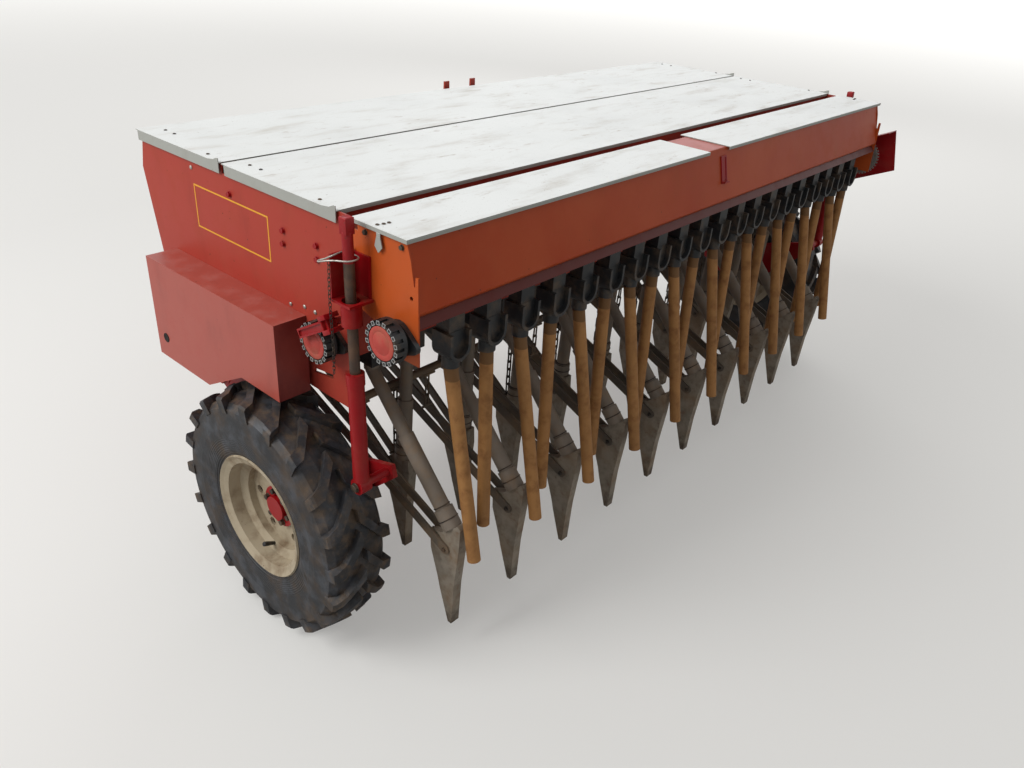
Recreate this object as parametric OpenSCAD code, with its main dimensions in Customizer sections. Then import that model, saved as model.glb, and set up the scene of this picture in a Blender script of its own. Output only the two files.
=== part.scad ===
// Towed seed drill: two wide hoppers, a small rear seed box, twenty rows of boots
// on drag arms, and two lugged wheels on arms that lift the machine by cylinders.
// Lengths are in millimetres. Travel is towards +Y and the machine's right is +X.
// Places along Y are counted from the wheel axle, and placed() centres them.

/* [Hopper] */
// Width over the two hopper end panels
hopper_w = 2664; // [2640:2:2700]
// Thickness of the end panels
panel_t = 4; // [3:0.5:6]
// Thickness of the folded hopper sheet
sheet_t = 3; // [2:0.5:4]
// Height of the hopper's top edge above the ground
hopper_top_z = 1257; // [1250:1:1265]
// Height of the hopper floor above the ground
hopper_floor_z = 868; // [860:1:880]
// Top edge of the front wall, forward of the axle
front_wall_y = 640; // [634:1:644]
// Furthest bulge of the front wall
front_bulge_y = 668; // [660:1:676]
// Place of the wall between the two hoppers
divider_y = 246; // [240:1:250]
// Rear wall of the second hopper
rear_wall_y = -203; // [-204:1:-198]
// Front wall of the small rear seed box
box_wall_y = -284; // [-288:1:-280]

/* [Lids] */
// How far the lids reach past the end panels
lid_over = 8; // [6:0.5:20]
// Thickness of the lid sheet
lid_t = 2.5; // [2:0.5:4]
// Depth of the lid's folded flanges
lid_flange = 27; // [20:1:28]
// Front edge of the front lid
lid_front_y0 = 668; // [664:1:672]
// Rear edge of the front lid
lid_front_y1 = 250; // [249:1:254]
// Front edge of the rear lid
lid_rear_y0 = 239; // [236:1:240]
// Rear edge of the rear lid
lid_rear_y1 = -214; // [-216:1:-213]
// Front edge of the small lids
lid_box_y0 = -262; // [-264:1:-260]
// Rear edge of the small lids
lid_box_y1 = -444; // [-448:1:-443]
// Inner ends of the left and right small lids
lid_box_split = [-107, 17];

/* [Wheels] */
// Radius of the tyre over its lugs
tyre_r = 365; // [355:1:380]
// Width of the tyre over its lugs
tyre_w = 186; // [180:2:196]
// Radius of the rim flange
rim_r = 184; // [176:1:192]
// Width of the rim over its flanges
rim_w = 164; // [156:1:168]
// Distance of a tyre's middle plane outside the end panel
wheel_out = 65.5; // [65:0.5:80]
// Number of lugs in each row of the tread
lug_count = 20; // [16:1:24]
// Height of a lug
lug_h = 24; // [14:1:30]
// Radius of the wheel's stub axle
stub_r = 22; // [18:1:26]

/* [Lift arms] */
// Pivot of the wheel arm, forward of the axle and above the ground
arm_pivot = [440, 570];
// Foot pin of the lift cylinder, ahead of the tyre's rear and above the axle
foot_from_tyre = [44, 233];
// Distance of the arm's outer face inside the end panel's outer face
arm_in = 38; // [36:1:70]
// Thickness of the wheel arm
arm_t = 14; // [10:1:16]
// Radius of the arm's pivot pin
pivot_pin_r = 20; // [14:1:24]
// Place of the rod's top, forward of the axle
rod_top_y = -296; // [-300:1:-292]
// Distance of the lift cylinder outside the end panel
cylinder_out = 43; // [40:1:60]
// Radius of the lift cylinder's barrel
barrel_r = 20; // [18:1:24]
// Radius of the lift cylinder's rod
rod_r = 12.5; // [10:0.5:16]

/* [Rows] */
// Number of rows
row_count = 20; // [16:2:20]
// Distance from an outer row to the outside of the end panel
row_margin = 144.5; // [140:0.5:200]
// Pivot line of the drag arms
drag_pivot = [360, 715];
// Distance from a rear boot to the front boot beside it
boot_stagger = 330; // [300:5:340]
// Width of a boot across its top
boot_w = 30; // [28:1:40]
// Lowest point of the boots above the ground
boot_tip_z = 110; // [60:5:160]
// Outer radius of the tan hanging tubes
tan_tube_r = 18; // [14:1:20]
// Wall of the tan hanging tubes
tan_tube_wall = 3; // [2:0.5:4]
// Height of the tan tubes' lower ends
tan_tube_end_z = 375; // [300:5:500]

/* [Frame and drawbar] */
// Side of the square front beam
beam_side = 100; // [80:2:120]
// Centre of the front beam
beam_at = [550, 600];
// Side of the square drawbar tubes
draw_side = 80; // [60:2:90]
// Spread of the drawbar tubes at the beam
draw_spread = 1240; // [900:10:1500]
// Place of the hitch eye's centre
hitch_at = [1960, 430];
// Radius of the hitch eye's bore
hitch_bore_r = 17; // [14:0.5:26]
// Thickness of the hitch eye
hitch_t = 30; // [24:1:40]

/* [Hidden] */

pin_gap = 0.1;
seat = 0.3;
round_n = 48;
half_w = hopper_w / 2;
wheel_x = half_w + wheel_out;
lid_w = hopper_w + 2 * lid_over;
row_pitch = (hopper_w - 2 * row_margin) / (row_count - 1);
rod_top = [rod_top_y, hopper_top_z + 23];
foot_pin = [foot_from_tyre[0] - tyre_r, foot_from_tyre[1] + tyre_r];
lid_z = hopper_top_z + seat + lid_t;
hinge_r = 4;
knuckle_r = 7;
hinge_z = hopper_top_z - 9;
tube_end_y = -540;
tube_top = [-430, hopper_top_z - 349];
rear_y = tube_end_y - tan_tube_r * cos(atan((tube_top[0] - tube_end_y)
    / (tube_top[1] - tan_tube_end_z)));
front_y = hitch_at[0] + 45;
y_shift = -(rear_y + front_y) / 2;

// Places of the rows across the machine
function row_x(i) = (i - (row_count - 1) / 2) * row_pitch;

// Length and slope of a line in the side view
function run(p, q) = norm(q - p);
function slope(p, q) = atan2(q[1] - p[1], q[0] - p[0]);

// A folded sheet: the polyline p thickened by t to its left, whole or one flat of it
function unit(v) = v / norm(v);
function left_of(v) = [-v[1], v[0]];
function corner(p, i, t) =
    let (a = i == 0 ? unit(p[1] - p[0]) : unit(p[i] - p[i - 1]),
         b = i == len(p) - 1 ? a : unit(p[i + 1] - p[i]),
         n = left_of(a) + left_of(b))
    p[i] + n * t / (1 + a * b);
function folded(p, t) = concat(p, [for (i = [len(p) - 1:-1:0]) corner(p, i, t)]);
function flat(p, i, t) =
    let (d = unit(p[i + 1] - p[i]) * seat / 2, a = i == 0 ? 0 * d : d,
         b = i == len(p) - 2 ? 0 * d : d)
    [p[i] + a, p[i + 1] - b, corner(p, i + 1, t) - b, corner(p, i, t) + a];

// Points on an arc, and the outline of a bar whose two ends are round
function arc_pts(c, r, a0, a1, n) =
    [for (i = [0:n]) let (a = a0 + (a1 - a0) * i / n) c + r * [cos(a), sin(a)]];
function eye_bar(p, q, r0, r1) =
    let (d = slope(p, q), b = asin(r1 / r0))
    concat(arc_pts(p, r0, d + b, d + 360 - b, 14), arc_pts(q, r1, d - 90, d + 90, 8));
function round_bar(p, q, r0, r1) =
    let (d = slope(p, q), b = acos((r0 - r1) / run(p, q)))
    concat(arc_pts(p, r0, d + b, d + 360 - b, 12), arc_pts(q, r1, d - b, d + b, 8));

module placed() {
    translate([0, y_shift, 0]) children();
}

// Draws a left-hand piece on the side s: -1 is left, 1 is right
module on_side(s) {
    mirror([s > 0 ? 1 : 0, 0, 0]) children();
}

// Pulls a side-view outline of y and z along X from x0
module along_x(x0, length) {
    translate([x0, 0, 0]) rotate([90, 0, 90]) linear_extrude(length) children();
}

// A round bar along X
module bar_x(x0, length, y, z, r) {
    translate([x0, y, z]) rotate([0, 90, 0]) cylinder(h = length, r = r, $fn = round_n);
}

// A block given by its lowest corner and its size
module block(at, size) {
    translate(at) cube(size);
}

// A round bar between two points of one side view
module rod_between(x, p, q, r) {
    translate([x, p[0], p[1]]) rotate([slope(p, q) - 90, 0, 0])
        cylinder(h = run(p, q), r = r, $fn = round_n);
}

// Hopper and seed box

bulge_z = hopper_top_z - 102;
rail_z = lid_z - lid_flange - seat;
front_trough = [[front_wall_y, hopper_top_z - 1], [front_bulge_y, bulge_z],
    [618, hopper_floor_z + 62], [430, hopper_floor_z], [340, hopper_floor_z],
    [divider_y + 2 * sheet_t, hopper_floor_z + 171]];
rear_trough = [[divider_y, rail_z - sheet_t - seat], [divider_y, hopper_floor_z + 178],
    [-90, hopper_floor_z], [-184, hopper_floor_z], [rear_wall_y, hopper_floor_z + 62],
    [rear_wall_y, hopper_top_z]];

// Two bent hooks on the front wall
hook_x = [-125, 15];
hook_w = 25;

// Outer face of the front wall at a height above its bulge
function wall_out(z) = front_wall_y + sheet_t + 0.2
    + (hopper_top_z - z) * (front_bulge_y - front_wall_y) / (hopper_top_z - bulge_z);

module hopper_trough() {
    color("firebrick") along_x(-half_w + panel_t, hopper_w - 2 * panel_t) {
        for (p = [front_trough, rear_trough]) {
            for (i = [0:len(p) - 2]) {
                polygon(flat(p, i, sheet_t));
            }
        }
        translate([divider_y - 26, rail_z - sheet_t]) square([36, sheet_t]);
    }
    color("firebrick") for (x = hook_x) {
        along_x(x, hook_w) polygon([[wall_out(hopper_top_z - 99) + seat, hopper_top_z - 99],
            [694, hopper_top_z - 21], [694, hopper_top_z + 24], [688, hopper_top_z + 24],
            [686, hopper_top_z - 17], [wall_out(hopper_top_z - 79) + seat, hopper_top_z - 79]]);
    }
}

panel_low_z = hopper_floor_z - 6;
front_axis_y = lid_front_y0 - 12;
rear_axis_y = lid_rear_y0 - 10;
box_axis_y = lid_box_y0 - 10;
notch_z = hopper_top_z - 25;

module end_panel(s) {
    color("firebrick") on_side(s) along_x(-half_w, panel_t)
        polygon([[wall_out(hopper_top_z), hopper_top_z], [wall_out(bulge_z), bulge_z],
            [622, hopper_floor_z + 37], [560, panel_low_z], [-230, panel_low_z],
            [-256, hopper_floor_z + 32],
            [-256, notch_z], [-250, notch_z], [-250, hopper_top_z],
            [rear_axis_y - 7, hopper_top_z], [rear_axis_y - 7, notch_z],
            [rear_axis_y + 21, notch_z], [rear_axis_y + 21, hopper_top_z]]);
}

box_rear_top = -432;
box_floor_z = hopper_top_z - 169;
strip_z = hopper_top_z - 33;
lip = [[box_rear_top, hopper_top_z], [box_rear_top - 40, hopper_top_z - 157],
    [box_rear_top - 27, hopper_top_z - 171], [box_rear_top - 42, hopper_top_z - 191]];
seed_trough = [[rear_wall_y - sheet_t - seat, strip_z], [box_wall_y, strip_z],
    [box_wall_y, hopper_top_z - 117], [-385, box_floor_z],
    [corner(lip, 2, sheet_t)[0] + seat, box_floor_z]];

module seed_box() {
    color("firebrick") {
        along_x(-half_w + panel_t, hopper_w - 2 * panel_t)
            polygon(folded(seed_trough, sheet_t));
        along_x(lid_box_split[0] - 30, lid_box_split[1] - lid_box_split[0] + 60)
            polygon([[box_rear_top + sheet_t + seat, hopper_top_z - sheet_t],
                [box_wall_y - 2, hopper_top_z - sheet_t], [box_wall_y - 2, hopper_top_z],
                [box_rear_top + sheet_t + seat, hopper_top_z]]);
        along_x(lid_box_split[0] - 30, lid_box_split[1] - lid_box_split[0] + 60)
            polygon([[box_wall_y - 2 + seat, strip_z + seat], [box_wall_y + 1, strip_z + seat],
                [box_wall_y + 1, hopper_top_z], [box_wall_y - 2 + seat, hopper_top_z]]);
    }
}

module rear_panel() {
    color("orangered") along_x(-half_w + panel_t, hopper_w - 2 * panel_t) {
        for (i = [0:len(lip) - 2]) {
            polygon(flat(lip, i, sheet_t));
        }
    }
}

module rear_end_plates() {
    color("tomato") for (s = [-1, 1]) {
        on_side(s) difference() {
            along_x(-half_w, panel_t)
                polygon([[box_axis_y - 7, hopper_top_z], [box_axis_y - 7, notch_z],
                    [-256 - seat, notch_z], [-256 - seat, hopper_top_z - 205],
                    [-288, hopper_top_z - 208], [-329, hopper_top_z - 220],
                    [-424, hopper_top_z - 281], [-475, hopper_top_z - 281],
                    [-470, hopper_top_z - 75], [-462, hopper_top_z - 75],
                    [-461, hopper_top_z - 97], [-458, hopper_top_z - 97],
                    [-447, hopper_top_z - 42], [box_rear_top - 1, hopper_top_z]]);
            bar_x(-half_w - 1, panel_t + 2, -450, hopper_top_z - 126, 5);
        }
    }
}

// Lids, opening forward about pins at their front edges

between = half_w - panel_t - 2;
strip_h = lid_flange - lid_t - seat;
strip_t = 2;
lid_end = lid_w / 2 - strip_t - seat;
hinge_end = half_w - 152;
hinge_x = [-hinge_end, -43, hinge_end];
box_hinge_x = [[-hinge_end, -240], [150, hinge_end]];

// The sheet of a lid, with the strip under its rear edge from f0 to f1
module lid_sheet(x0, x1, y0, y1, f0, f1) {
    block([x0, y1, lid_z - lid_t], [x1 - x0, y0 - y1, lid_t]);
    block([f0, y1, lid_z - lid_flange], [f1 - f0, lid_t, strip_h]);
}

// The strip at one end of a lid, turned up into a small ear at the rear
module side_strip(s, y0, y1) {
    along_x(s < 0 ? -lid_w / 2 : lid_w / 2 - strip_t, strip_t)
        polygon([[y0 - 14, lid_z - lid_flange], [y0 - 14, lid_z], [y1 + 50, lid_z],
            [y1 + 22, lid_z + 4], [y1 + 6, lid_z + 11], [y1, lid_z + 11],
            [y1, lid_z - lid_flange]]);
}

// A barbed strap hanging from the end strip of a small lid
module strap(x, y) {
    along_x(x, strip_t) polygon([[y + 6, lid_z - lid_flange + 8], [y - 6, lid_z - lid_flange + 8],
        [y - 6, lid_z - lid_flange - 12], [y - 12, lid_z - lid_flange - 14],
        [y, lid_z - lid_flange - 27], [y + 12, lid_z - lid_flange - 14],
        [y + 6, lid_z - lid_flange - 12]]);
}

module knuckle(x, axis_y) {
    difference() {
        union() {
            bar_x(x - 20, 40, axis_y, hinge_z, knuckle_r);
            block([x - 20, axis_y - 5, hinge_z], [40, 10, lid_z - lid_t - seat - hinge_z]);
        }
        bar_x(x - 21, 42, axis_y, hinge_z, hinge_r + pin_gap);
    }
}

module hinge_pin(x, axis_y, stand_z) {
    bar_x(x - 36, 72, axis_y, hinge_z, hinge_r);
    for (side = [-1, 1]) {
        translate([x + side * 29 - 4, axis_y - 5, stand_z]) cube([8, 10, hinge_z + 4 - stand_z]);
    }
}

module lid_hinges() {
    color("gray") {
        for (x = hinge_x) {
            hinge_pin(x, rear_axis_y, rail_z);
            bar_x(x - 36, 72, front_axis_y, hinge_z, hinge_r);
            for (side = [-1, 1]) {
                along_x(x + side * 29 - 4, 8)
                    polygon([[wall_out(hopper_top_z - 31) + seat, hopper_top_z - 31],
                        [front_axis_y + 6, hopper_top_z - 21], [front_axis_y + 6, hinge_z + 5],
                        [wall_out(hinge_z + 5) + seat, hinge_z + 5]]);
            }
        }
        for (pair = box_hinge_x) {
            for (x = pair) {
                hinge_pin(x, box_axis_y, strip_z);
            }
        }
    }
}

module lid_front() {
    color("gainsboro") {
        lid_sheet(-lid_end, lid_end, lid_front_y0, lid_front_y1, -between, between);
        side_strip(-1, lid_front_y0, lid_front_y1);
        side_strip(1, lid_front_y0, lid_front_y1);
        for (x = hinge_x) {
            knuckle(x, front_axis_y);
        }
    }
}

module lid_rear() {
    color("gainsboro") {
        lid_sheet(-lid_end, lid_end, lid_rear_y0, lid_rear_y1, -between, between);
        side_strip(-1, lid_rear_y0, lid_rear_y1);
        side_strip(1, lid_rear_y0, lid_rear_y1);
        for (x = hinge_x) {
            knuckle(x, rear_axis_y);
        }
    }
}

module lid_box(s) {
    x0 = s < 0 ? -lid_end : lid_box_split[1];
    x1 = s < 0 ? lid_box_split[0] : lid_end;
    color("gainsboro") {
        lid_sheet(x0, x1, lid_box_y0, lid_box_y1, x0, x1);
        side_strip(s, lid_box_y0, lid_box_y1);
        strap(s < 0 ? -lid_w / 2 : lid_w / 2 - strip_t, -355);
        for (x = box_hinge_x[s < 0 ? 0 : 1]) {
            knuckle(x, box_axis_y);
        }
    }
}

// Covers on the two ends

cover_d = 94;
cover_low = 2 * tyre_r + 12;
cover_foot = 2 * tyre_r - 86;

module drive_cover_left() {
    color("firebrick") translate([-half_w - seat, 0, 0])
        along_x(-cover_d, cover_d) polygon([[539, cover_foot], [539, hopper_floor_z + 80],
            [-70, hopper_floor_z + 87], [-70, cover_low], [100, cover_low], [275, cover_foot]]);
}

guard_top = [[-513, hopper_top_z - 107], [-445, hopper_top_z - 139.4],
    [-362, hopper_top_z - 179]];
guard_low = [[-362, hopper_top_z - 363], [-553, hopper_top_z - 272]];

module chain_guard_right() {
    color("crimson") {
        along_x(half_w + cover_d - sheet_t, sheet_t) polygon(concat(guard_top, guard_low));
        along_x(half_w + 13, cover_d - 13)
            polygon(folded([guard_top[0], guard_top[2]], -sheet_t));
        along_x(half_w + seat, 14)
            polygon(folded([guard_top[0], guard_top[1]], -sheet_t));
    }
}

gear_at = [-425, hopper_top_z - 225];

module seed_gear() {
    color("slategray") {
        bar_x(half_w + seat, 8, gear_at[0], gear_at[1], 68);
        bar_x(half_w + seat, 26, gear_at[0], gear_at[1], 20);
        for (i = [0:35]) {
            translate([half_w + seat, gear_at[0], gear_at[1]]) rotate([i * 10, 0, 0])
                translate([1, -3, 60]) cube([6, 6, 15]);
        }
    }
}

// Frame

plate_x = -half_w + 14;
plate_low = 2 * tyre_r + 15;
plate_mid = (plate_low + panel_low_z) / 2;

module side_plates() {
    color("firebrick") for (s = [-1, 1]) {
        on_side(s) difference() {
            along_x(plate_x, 8) polygon([[600, plate_low], [600, panel_low_z - seat],
                [-240, panel_low_z - seat], [-240, plate_mid], [-205, plate_low]]);
            along_x(plate_x - 1, 10) polygon([[-70, plate_mid], [-70, plate_mid - 12],
                [-150, plate_mid], [-150, plate_mid + 12]]);
        }
    }
}

beam_low = beam_at - [beam_side / 2, beam_side / 2];
beam_top = beam_at + [beam_side / 2, beam_side / 2];

module front_beam() {
    color("firebrick") difference() {
        block([plate_x, beam_low[0], beam_low[1]], [-2 * plate_x, beam_side, beam_side]);
        block([plate_x - 1, beam_low[0] + 6, beam_low[1] + 6],
            [2 - 2 * plate_x, beam_side - 12, beam_side - 12]);
    }
}

arm_x = arm_in - half_w;

module arm_mounts() {
    y = beam_low[0] - seat;
    color("firebrick") for (s = [-1, 1]) {
        on_side(s) {
            for (x = [arm_x - 11, arm_x + arm_t + 3]) {
                along_x(x, 8) polygon([[y, 556], [y, 640], [430, arm_pivot[1] + 40],
                    [400, arm_pivot[1]], [430, arm_pivot[1] - 36], [y, arm_pivot[1] - 36]]);
            }
            bar_x(arm_x - 16, arm_t + 32, arm_pivot[0], arm_pivot[1], pivot_pin_r);
        }
    }
}

floor_under = hopper_floor_z - sheet_t - seat;
stand_x = [-7 * row_pitch, -2 * row_pitch, 2 * row_pitch, 7 * row_pitch];

module hopper_stands() {
    low = beam_top[1] + seat;
    color("firebrick") {
        for (x = stand_x) {
            difference() {
                along_x(x - 5, 10) polygon([[505, low], [600, low],
                    [600, hopper_floor_z + 52.5], [431, floor_under], [336, floor_under],
                    drag_pivot - [34, 25], drag_pivot + [24, -33]]);
                bar_x(x - 6, 12, drag_pivot[0], drag_pivot[1], 22 + seat);
            }
        }
        for (s = [-1, 1]) {
            on_side(s) along_x(plate_x, 8) polygon([[505, low], [600, low],
                [600, plate_low - seat], [420, plate_low - seat]]);
        }
    }
}

shaft_end = half_w - 132;
lift_shaft = [-92, 668];

module drag_beam() {
    color("dimgray") {
        bar_x(-shaft_end, 2 * shaft_end, drag_pivot[0], drag_pivot[1], 22);
        bar_x(-shaft_end, 2 * shaft_end, lift_shaft[0], lift_shaft[1], 12);
        for (x = stand_x) {
            difference() {
                along_x(x - 4, 8) polygon([lift_shaft + [-22, -20],
                    lift_shaft + [22, -20], [-100, floor_under], [-170, floor_under]]);
                bar_x(x - 6, 12, lift_shaft[0], lift_shaft[1], 12 + seat);
            }
        }
    }
}

draw_tip = hitch_at[0] - 188;
draw_gap = 1;
draw_end = 2;
jack_y = 1500;
jack_at = [draw_face(jack_y) - 38.7, jack_y];
jack_r = 32;

// Outer face of the left drawbar tube in plan
function draw_face(y) = -draw_spread / 2 + (y - beam_top[0] - seat - draw_end)
    * (draw_spread / 2 - draw_side - draw_gap) / (draw_tip - draw_end - beam_top[0] - seat);

module drawbar(s) {
    color("firebrick") on_side(s) hull() {
        block([-draw_spread / 2, beam_top[0] + seat, beam_at[1] - draw_side / 2],
            [draw_side, draw_end, draw_side]);
        block([-draw_side - draw_gap, draw_tip - draw_end, hitch_at[1] - draw_side / 2],
            [draw_side, draw_end, draw_side]);
    }
}

module hitch_eye() {
    head = draw_tip + seat;
    color("dimgray") difference() {
        union() {
            translate([0, hitch_at[0], hitch_at[1] - hitch_t / 2])
                cylinder(h = hitch_t, r = 45, $fn = round_n);
            block([-30, head + 11, hitch_at[1] - hitch_t / 2], [60, hitch_at[0] - head - 51, hitch_t]);
            block([-draw_side - 15, head, hitch_at[1] - 48], [2 * draw_side + 30, 12, 96]);
        }
        translate([0, hitch_at[0], hitch_at[1] - hitch_t / 2 - 1])
            cylinder(h = hitch_t + 2, r = hitch_bore_r, $fn = round_n);
    }
}

module jack_tube() {
    y0 = jack_at[1] - 30;
    y1 = jack_at[1] + 30;
    color("firebrick") difference() {
        union() {
            translate([jack_at[0], jack_at[1], 330]) cylinder(h = 430, r = jack_r, $fn = round_n);
            translate([0, 0, 462]) linear_extrude(56) polygon([[jack_at[0], y0],
                [draw_face(y0) - 1.2 * seat, y0], [draw_face(y1) - 1.2 * seat, y1],
                [jack_at[0], y1]]);
        }
        translate([jack_at[0], jack_at[1], 329]) cylinder(h = 421, r = 26, $fn = round_n);
    }
}

module jack_leg() {
    color("dimgray") {
        translate([jack_at[0], jack_at[1], 8]) cylinder(h = 482, r = 26 - pin_gap, $fn = round_n);
        translate([jack_at[0], jack_at[1], 0]) cylinder(h = 8, r = 85, $fn = round_n);
    }
}

// Wheels and the arms that carry them

module wheel_arm(s) {
    x = arm_x;
    color("crimson") on_side(s) {
        difference() {
            union() {
                along_x(x, arm_t) polygon([[arm_pivot[0] + 8, arm_pivot[1] + 38],
                    [arm_pivot[0] - 20, arm_pivot[1] + 42], [60, 560], [-40, 530],
                    [foot_pin[0] - 16, foot_pin[1] + 24], [foot_pin[0] - 26, foot_pin[1] - 10],
                    [-60, 320], [0, 300], [60, 330], [arm_pivot[0] + 20, arm_pivot[1] - 34]]);
                bar_x(x - 2.5, arm_t + 5, arm_pivot[0], arm_pivot[1], 42);
                bar_x(x, arm_t, 0, tyre_r, 60);
            }
            bar_x(x - 20, arm_t + 40, arm_pivot[0], arm_pivot[1], pivot_pin_r + pin_gap);
        }
        bar_x(-wheel_x - 22, wheel_x + 22 + x + arm_t / 2, 0, tyre_r, stub_r);
        bar_x(cyl_x - 20, x + arm_t / 2 - cyl_x + 20, foot_pin[0], foot_pin[1], foot_pin_r);
    }
}

// Outline of the tyre: distance from the wheel's middle plane, and radius
tread_r = tyre_r - lug_h;
tyre_side = [[rim_w / 2 - 11.9, rim_r - 21.7], [rim_w / 2 - 6.9, rim_r - 9.6],
    [rim_w / 2 - 0.8, rim_r + 0.6], [tyre_w / 2 - 5, rim_r + 15],
    [tyre_w / 2 - 0.5, (rim_r + tread_r) / 2], [tyre_w / 2 - 4, tread_r - 22],
    [tyre_w / 2 - 20, tread_r - 7], [35, tread_r]];

module tyre_body() {
    rotate_extrude($fn = 72) polygon(concat(
        [for (p = tyre_side) [p[1], p[0]]],
        [for (i = [len(tyre_side) - 1:-1:0]) [tyre_side[i][1], -tyre_side[i][0]]]));
}

// One lug in plan: distance from the middle plane, and place round the tread
lug_plan = [[tyre_w / 2 + 4, -62], [tyre_w / 2 - 30, -54], [3, 20], [3, 56],
    [tyre_w / 2 - 36, -16], [tyre_w / 2 + 4, -34]];

module lug_row(s) {
    for (i = [0:lug_count - 1]) {
        rotate([0, 0, (i + (s > 0 ? 0.5 : 0)) * 360 / lug_count]) translate([tread_r - 41, 0, 0])
            rotate([90, 0, 90]) linear_extrude(90)
                polygon([for (p = lug_plan) [p[1], s * p[0]]]);
    }
}

module tyre(s) {
    color("dimgray") translate([s * wheel_x, 0, tyre_r]) rotate([0, -90, 0]) {
        tyre_body();
        intersection() {
            union() {
                lug_row(-1);
                lug_row(1);
            }
            rotate_extrude($fn = 72) polygon([[tread_r - 31, -tyre_w / 2],
                [tyre_r - 17, -tyre_w / 2], [tyre_r - 12, -tyre_w / 2 + 6], [tyre_r, 0],
                [tyre_r - 12, tyre_w / 2 - 6], [tyre_r - 17, tyre_w / 2],
                [tread_r - 31, tyre_w / 2]]);
        }
    }
}

// Rim section: distance from the middle plane towards the outside, and radius
well_r = rim_r - 49;
rim_outline = [[-rim_w / 2, rim_r], [-rim_w / 2 + 6.5, rim_r - 10],
    [-rim_w / 2 + 11.5, rim_r - 22], [-43, rim_r - 26], [-30, well_r], [25, well_r],
    [36, rim_r - 26], [rim_w / 2 - 11.5, rim_r - 22], [rim_w / 2 - 6.5, rim_r - 10],
    [rim_w / 2, rim_r]];

module rim(s) {
    color("wheat") translate([s * wheel_x, 0, tyre_r]) rotate([0, s * 90, 0]) {
        rotate_extrude($fn = 72) polygon([for (p = folded(rim_outline, -6)) [p[1], p[0]]]);
        difference() {
            cylinder(h = 8, r = well_r - 3, $fn = 72);
            translate([0, 0, -1]) cylinder(h = 10, r = hub_r + 1, $fn = round_n);
            for (i = [0:5]) {
                rotate([0, 0, i * 60 + 30]) translate([well_r - 33, 0, -1])
                    cylinder(h = 10, r = 13, $fn = 24);
            }
        }
    }
}

hub_r = 40;
hub_in = wheel_x + arm_x - 1.5;

module hub(s) {
    color("crimson") translate([s * wheel_x, 0, tyre_r]) rotate([0, s * 90, 0]) difference() {
        union() {
            translate([0, 0, -hub_in]) cylinder(h = hub_in + 12, r = hub_r, $fn = round_n);
            translate([0, 0, -10]) cylinder(h = 10 - seat, r = 85, $fn = round_n);
            translate([0, 0, 8 + seat]) cylinder(h = 8, r = 62, $fn = round_n);
            translate([0, 0, 10]) cylinder(h = 20, r = 36, $fn = round_n);
        }
        translate([0, 0, -hub_in - 1]) cylinder(h = hub_in + 24, r = stub_r + pin_gap,
            $fn = round_n);
    }
}

// Lift cylinders

cyl_x = -half_w - cylinder_out;
cyl_dir = (rod_top - foot_pin) / norm(rod_top - foot_pin);
function cyl_at(d) = foot_pin + cyl_dir * d;
barrel_len = run(foot_pin, rod_top) - 370;
rod_low = 48;
foot_pin_r = 12;
head_low = run(foot_pin, rod_top) - 100;

module barrel(s) {
    color("red") on_side(s) difference() {
        union() {
            rod_between(cyl_x, cyl_at(15), cyl_at(barrel_len - 1), barrel_r);
            rod_between(cyl_x, cyl_at(barrel_len - 30), cyl_at(barrel_len), barrel_r + 2);
            bar_x(cyl_x - 16, 32, foot_pin[0], foot_pin[1], 22);
        }
        bar_x(cyl_x - 20, 40, foot_pin[0], foot_pin[1], foot_pin_r + pin_gap);
        rod_between(cyl_x, cyl_at(rod_low - 3), cyl_at(barrel_len + 1), rod_r + pin_gap);
    }
}

module rod(s) {
    color("sienna") on_side(s) {
        rod_between(cyl_x, cyl_at(rod_low), cyl_at(head_low + 20), rod_r);
        rod_between(cyl_x, cyl_at(head_low), cyl_at(head_low + 62), 16);
        translate([cyl_x, cyl_at(head_low + 60)[0], cyl_at(head_low + 60)[1]])
            rotate([slope(foot_pin, rod_top) - 90, 0, 0]) translate([-15, -15, 0])
                cube([30, 30, 40]);
    }
}

// Heights of the guide plate and of the bracket's upper edge
guide_z = hopper_top_z - 174;
bracket_z = hopper_top_z - 72;
guide_r = 21;

// Distance up the cylinder at a height
function cyl_d(z) = (z - foot_pin[1]) / cyl_dir[1];

module cylinder_brackets() {
    base_x = -half_w - seat - 5;
    rod_y = cyl_at(cyl_d(guide_z))[0];
    color("crimson") for (s = [-1, 1]) {
        on_side(s) difference() {
            union() {
                block([base_x, -322, guide_z - 2], [5, 82, bracket_z - guide_z + 2]);
                block([cyl_x - 25, -269, guide_z + 1], [base_x - cyl_x + 26, 5,
                    bracket_z - guide_z + 5]);
                block([cyl_x - 27, -332, guide_z], [base_x - cyl_x + 29, 67, 6]);
                rod_between(cyl_x, cyl_at(cyl_d(guide_z) - 53), cyl_at(cyl_d(guide_z) + 3),
                    guide_r + 3);
            }
            rod_between(cyl_x, cyl_at(cyl_d(guide_z) - 60), cyl_at(cyl_d(guide_z) + 12),
                guide_r);
        }
    }
}

// Small pieces on the ends

module rate_knob(at) {
    along_x(-half_w - seat - 12, 12) polygon(round_bar(at, at - [52, 8], 40, 14));
    translate([-half_w - seat, at[0], at[1]]) rotate([0, -90, 0]) {
        translate([0, 0, 2]) cylinder(h = 22.5, r = 38, $fn = round_n);
        difference() {
            translate([0, 0, 24]) cylinder(h = 30, r = 52, $fn = round_n);
            translate([0, 0, 48]) cylinder(h = 7, r = 42, $fn = round_n);
            for (i = [0:15]) {
                rotate([0, 0, i * 22.5]) translate([47, -4, 34]) cube([10, 8, 30]);
            }
        }
        translate([0, 0, 48]) cylinder(h = 5, r = 40, $fn = round_n);
    }
}

module rate_knobs() {
    color("darkslategray") {
        rate_knob([-170, hopper_floor_z + 67]);
        rate_knob([-415, hopper_top_z - 227]);
    }
}

// Seed lines

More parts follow.
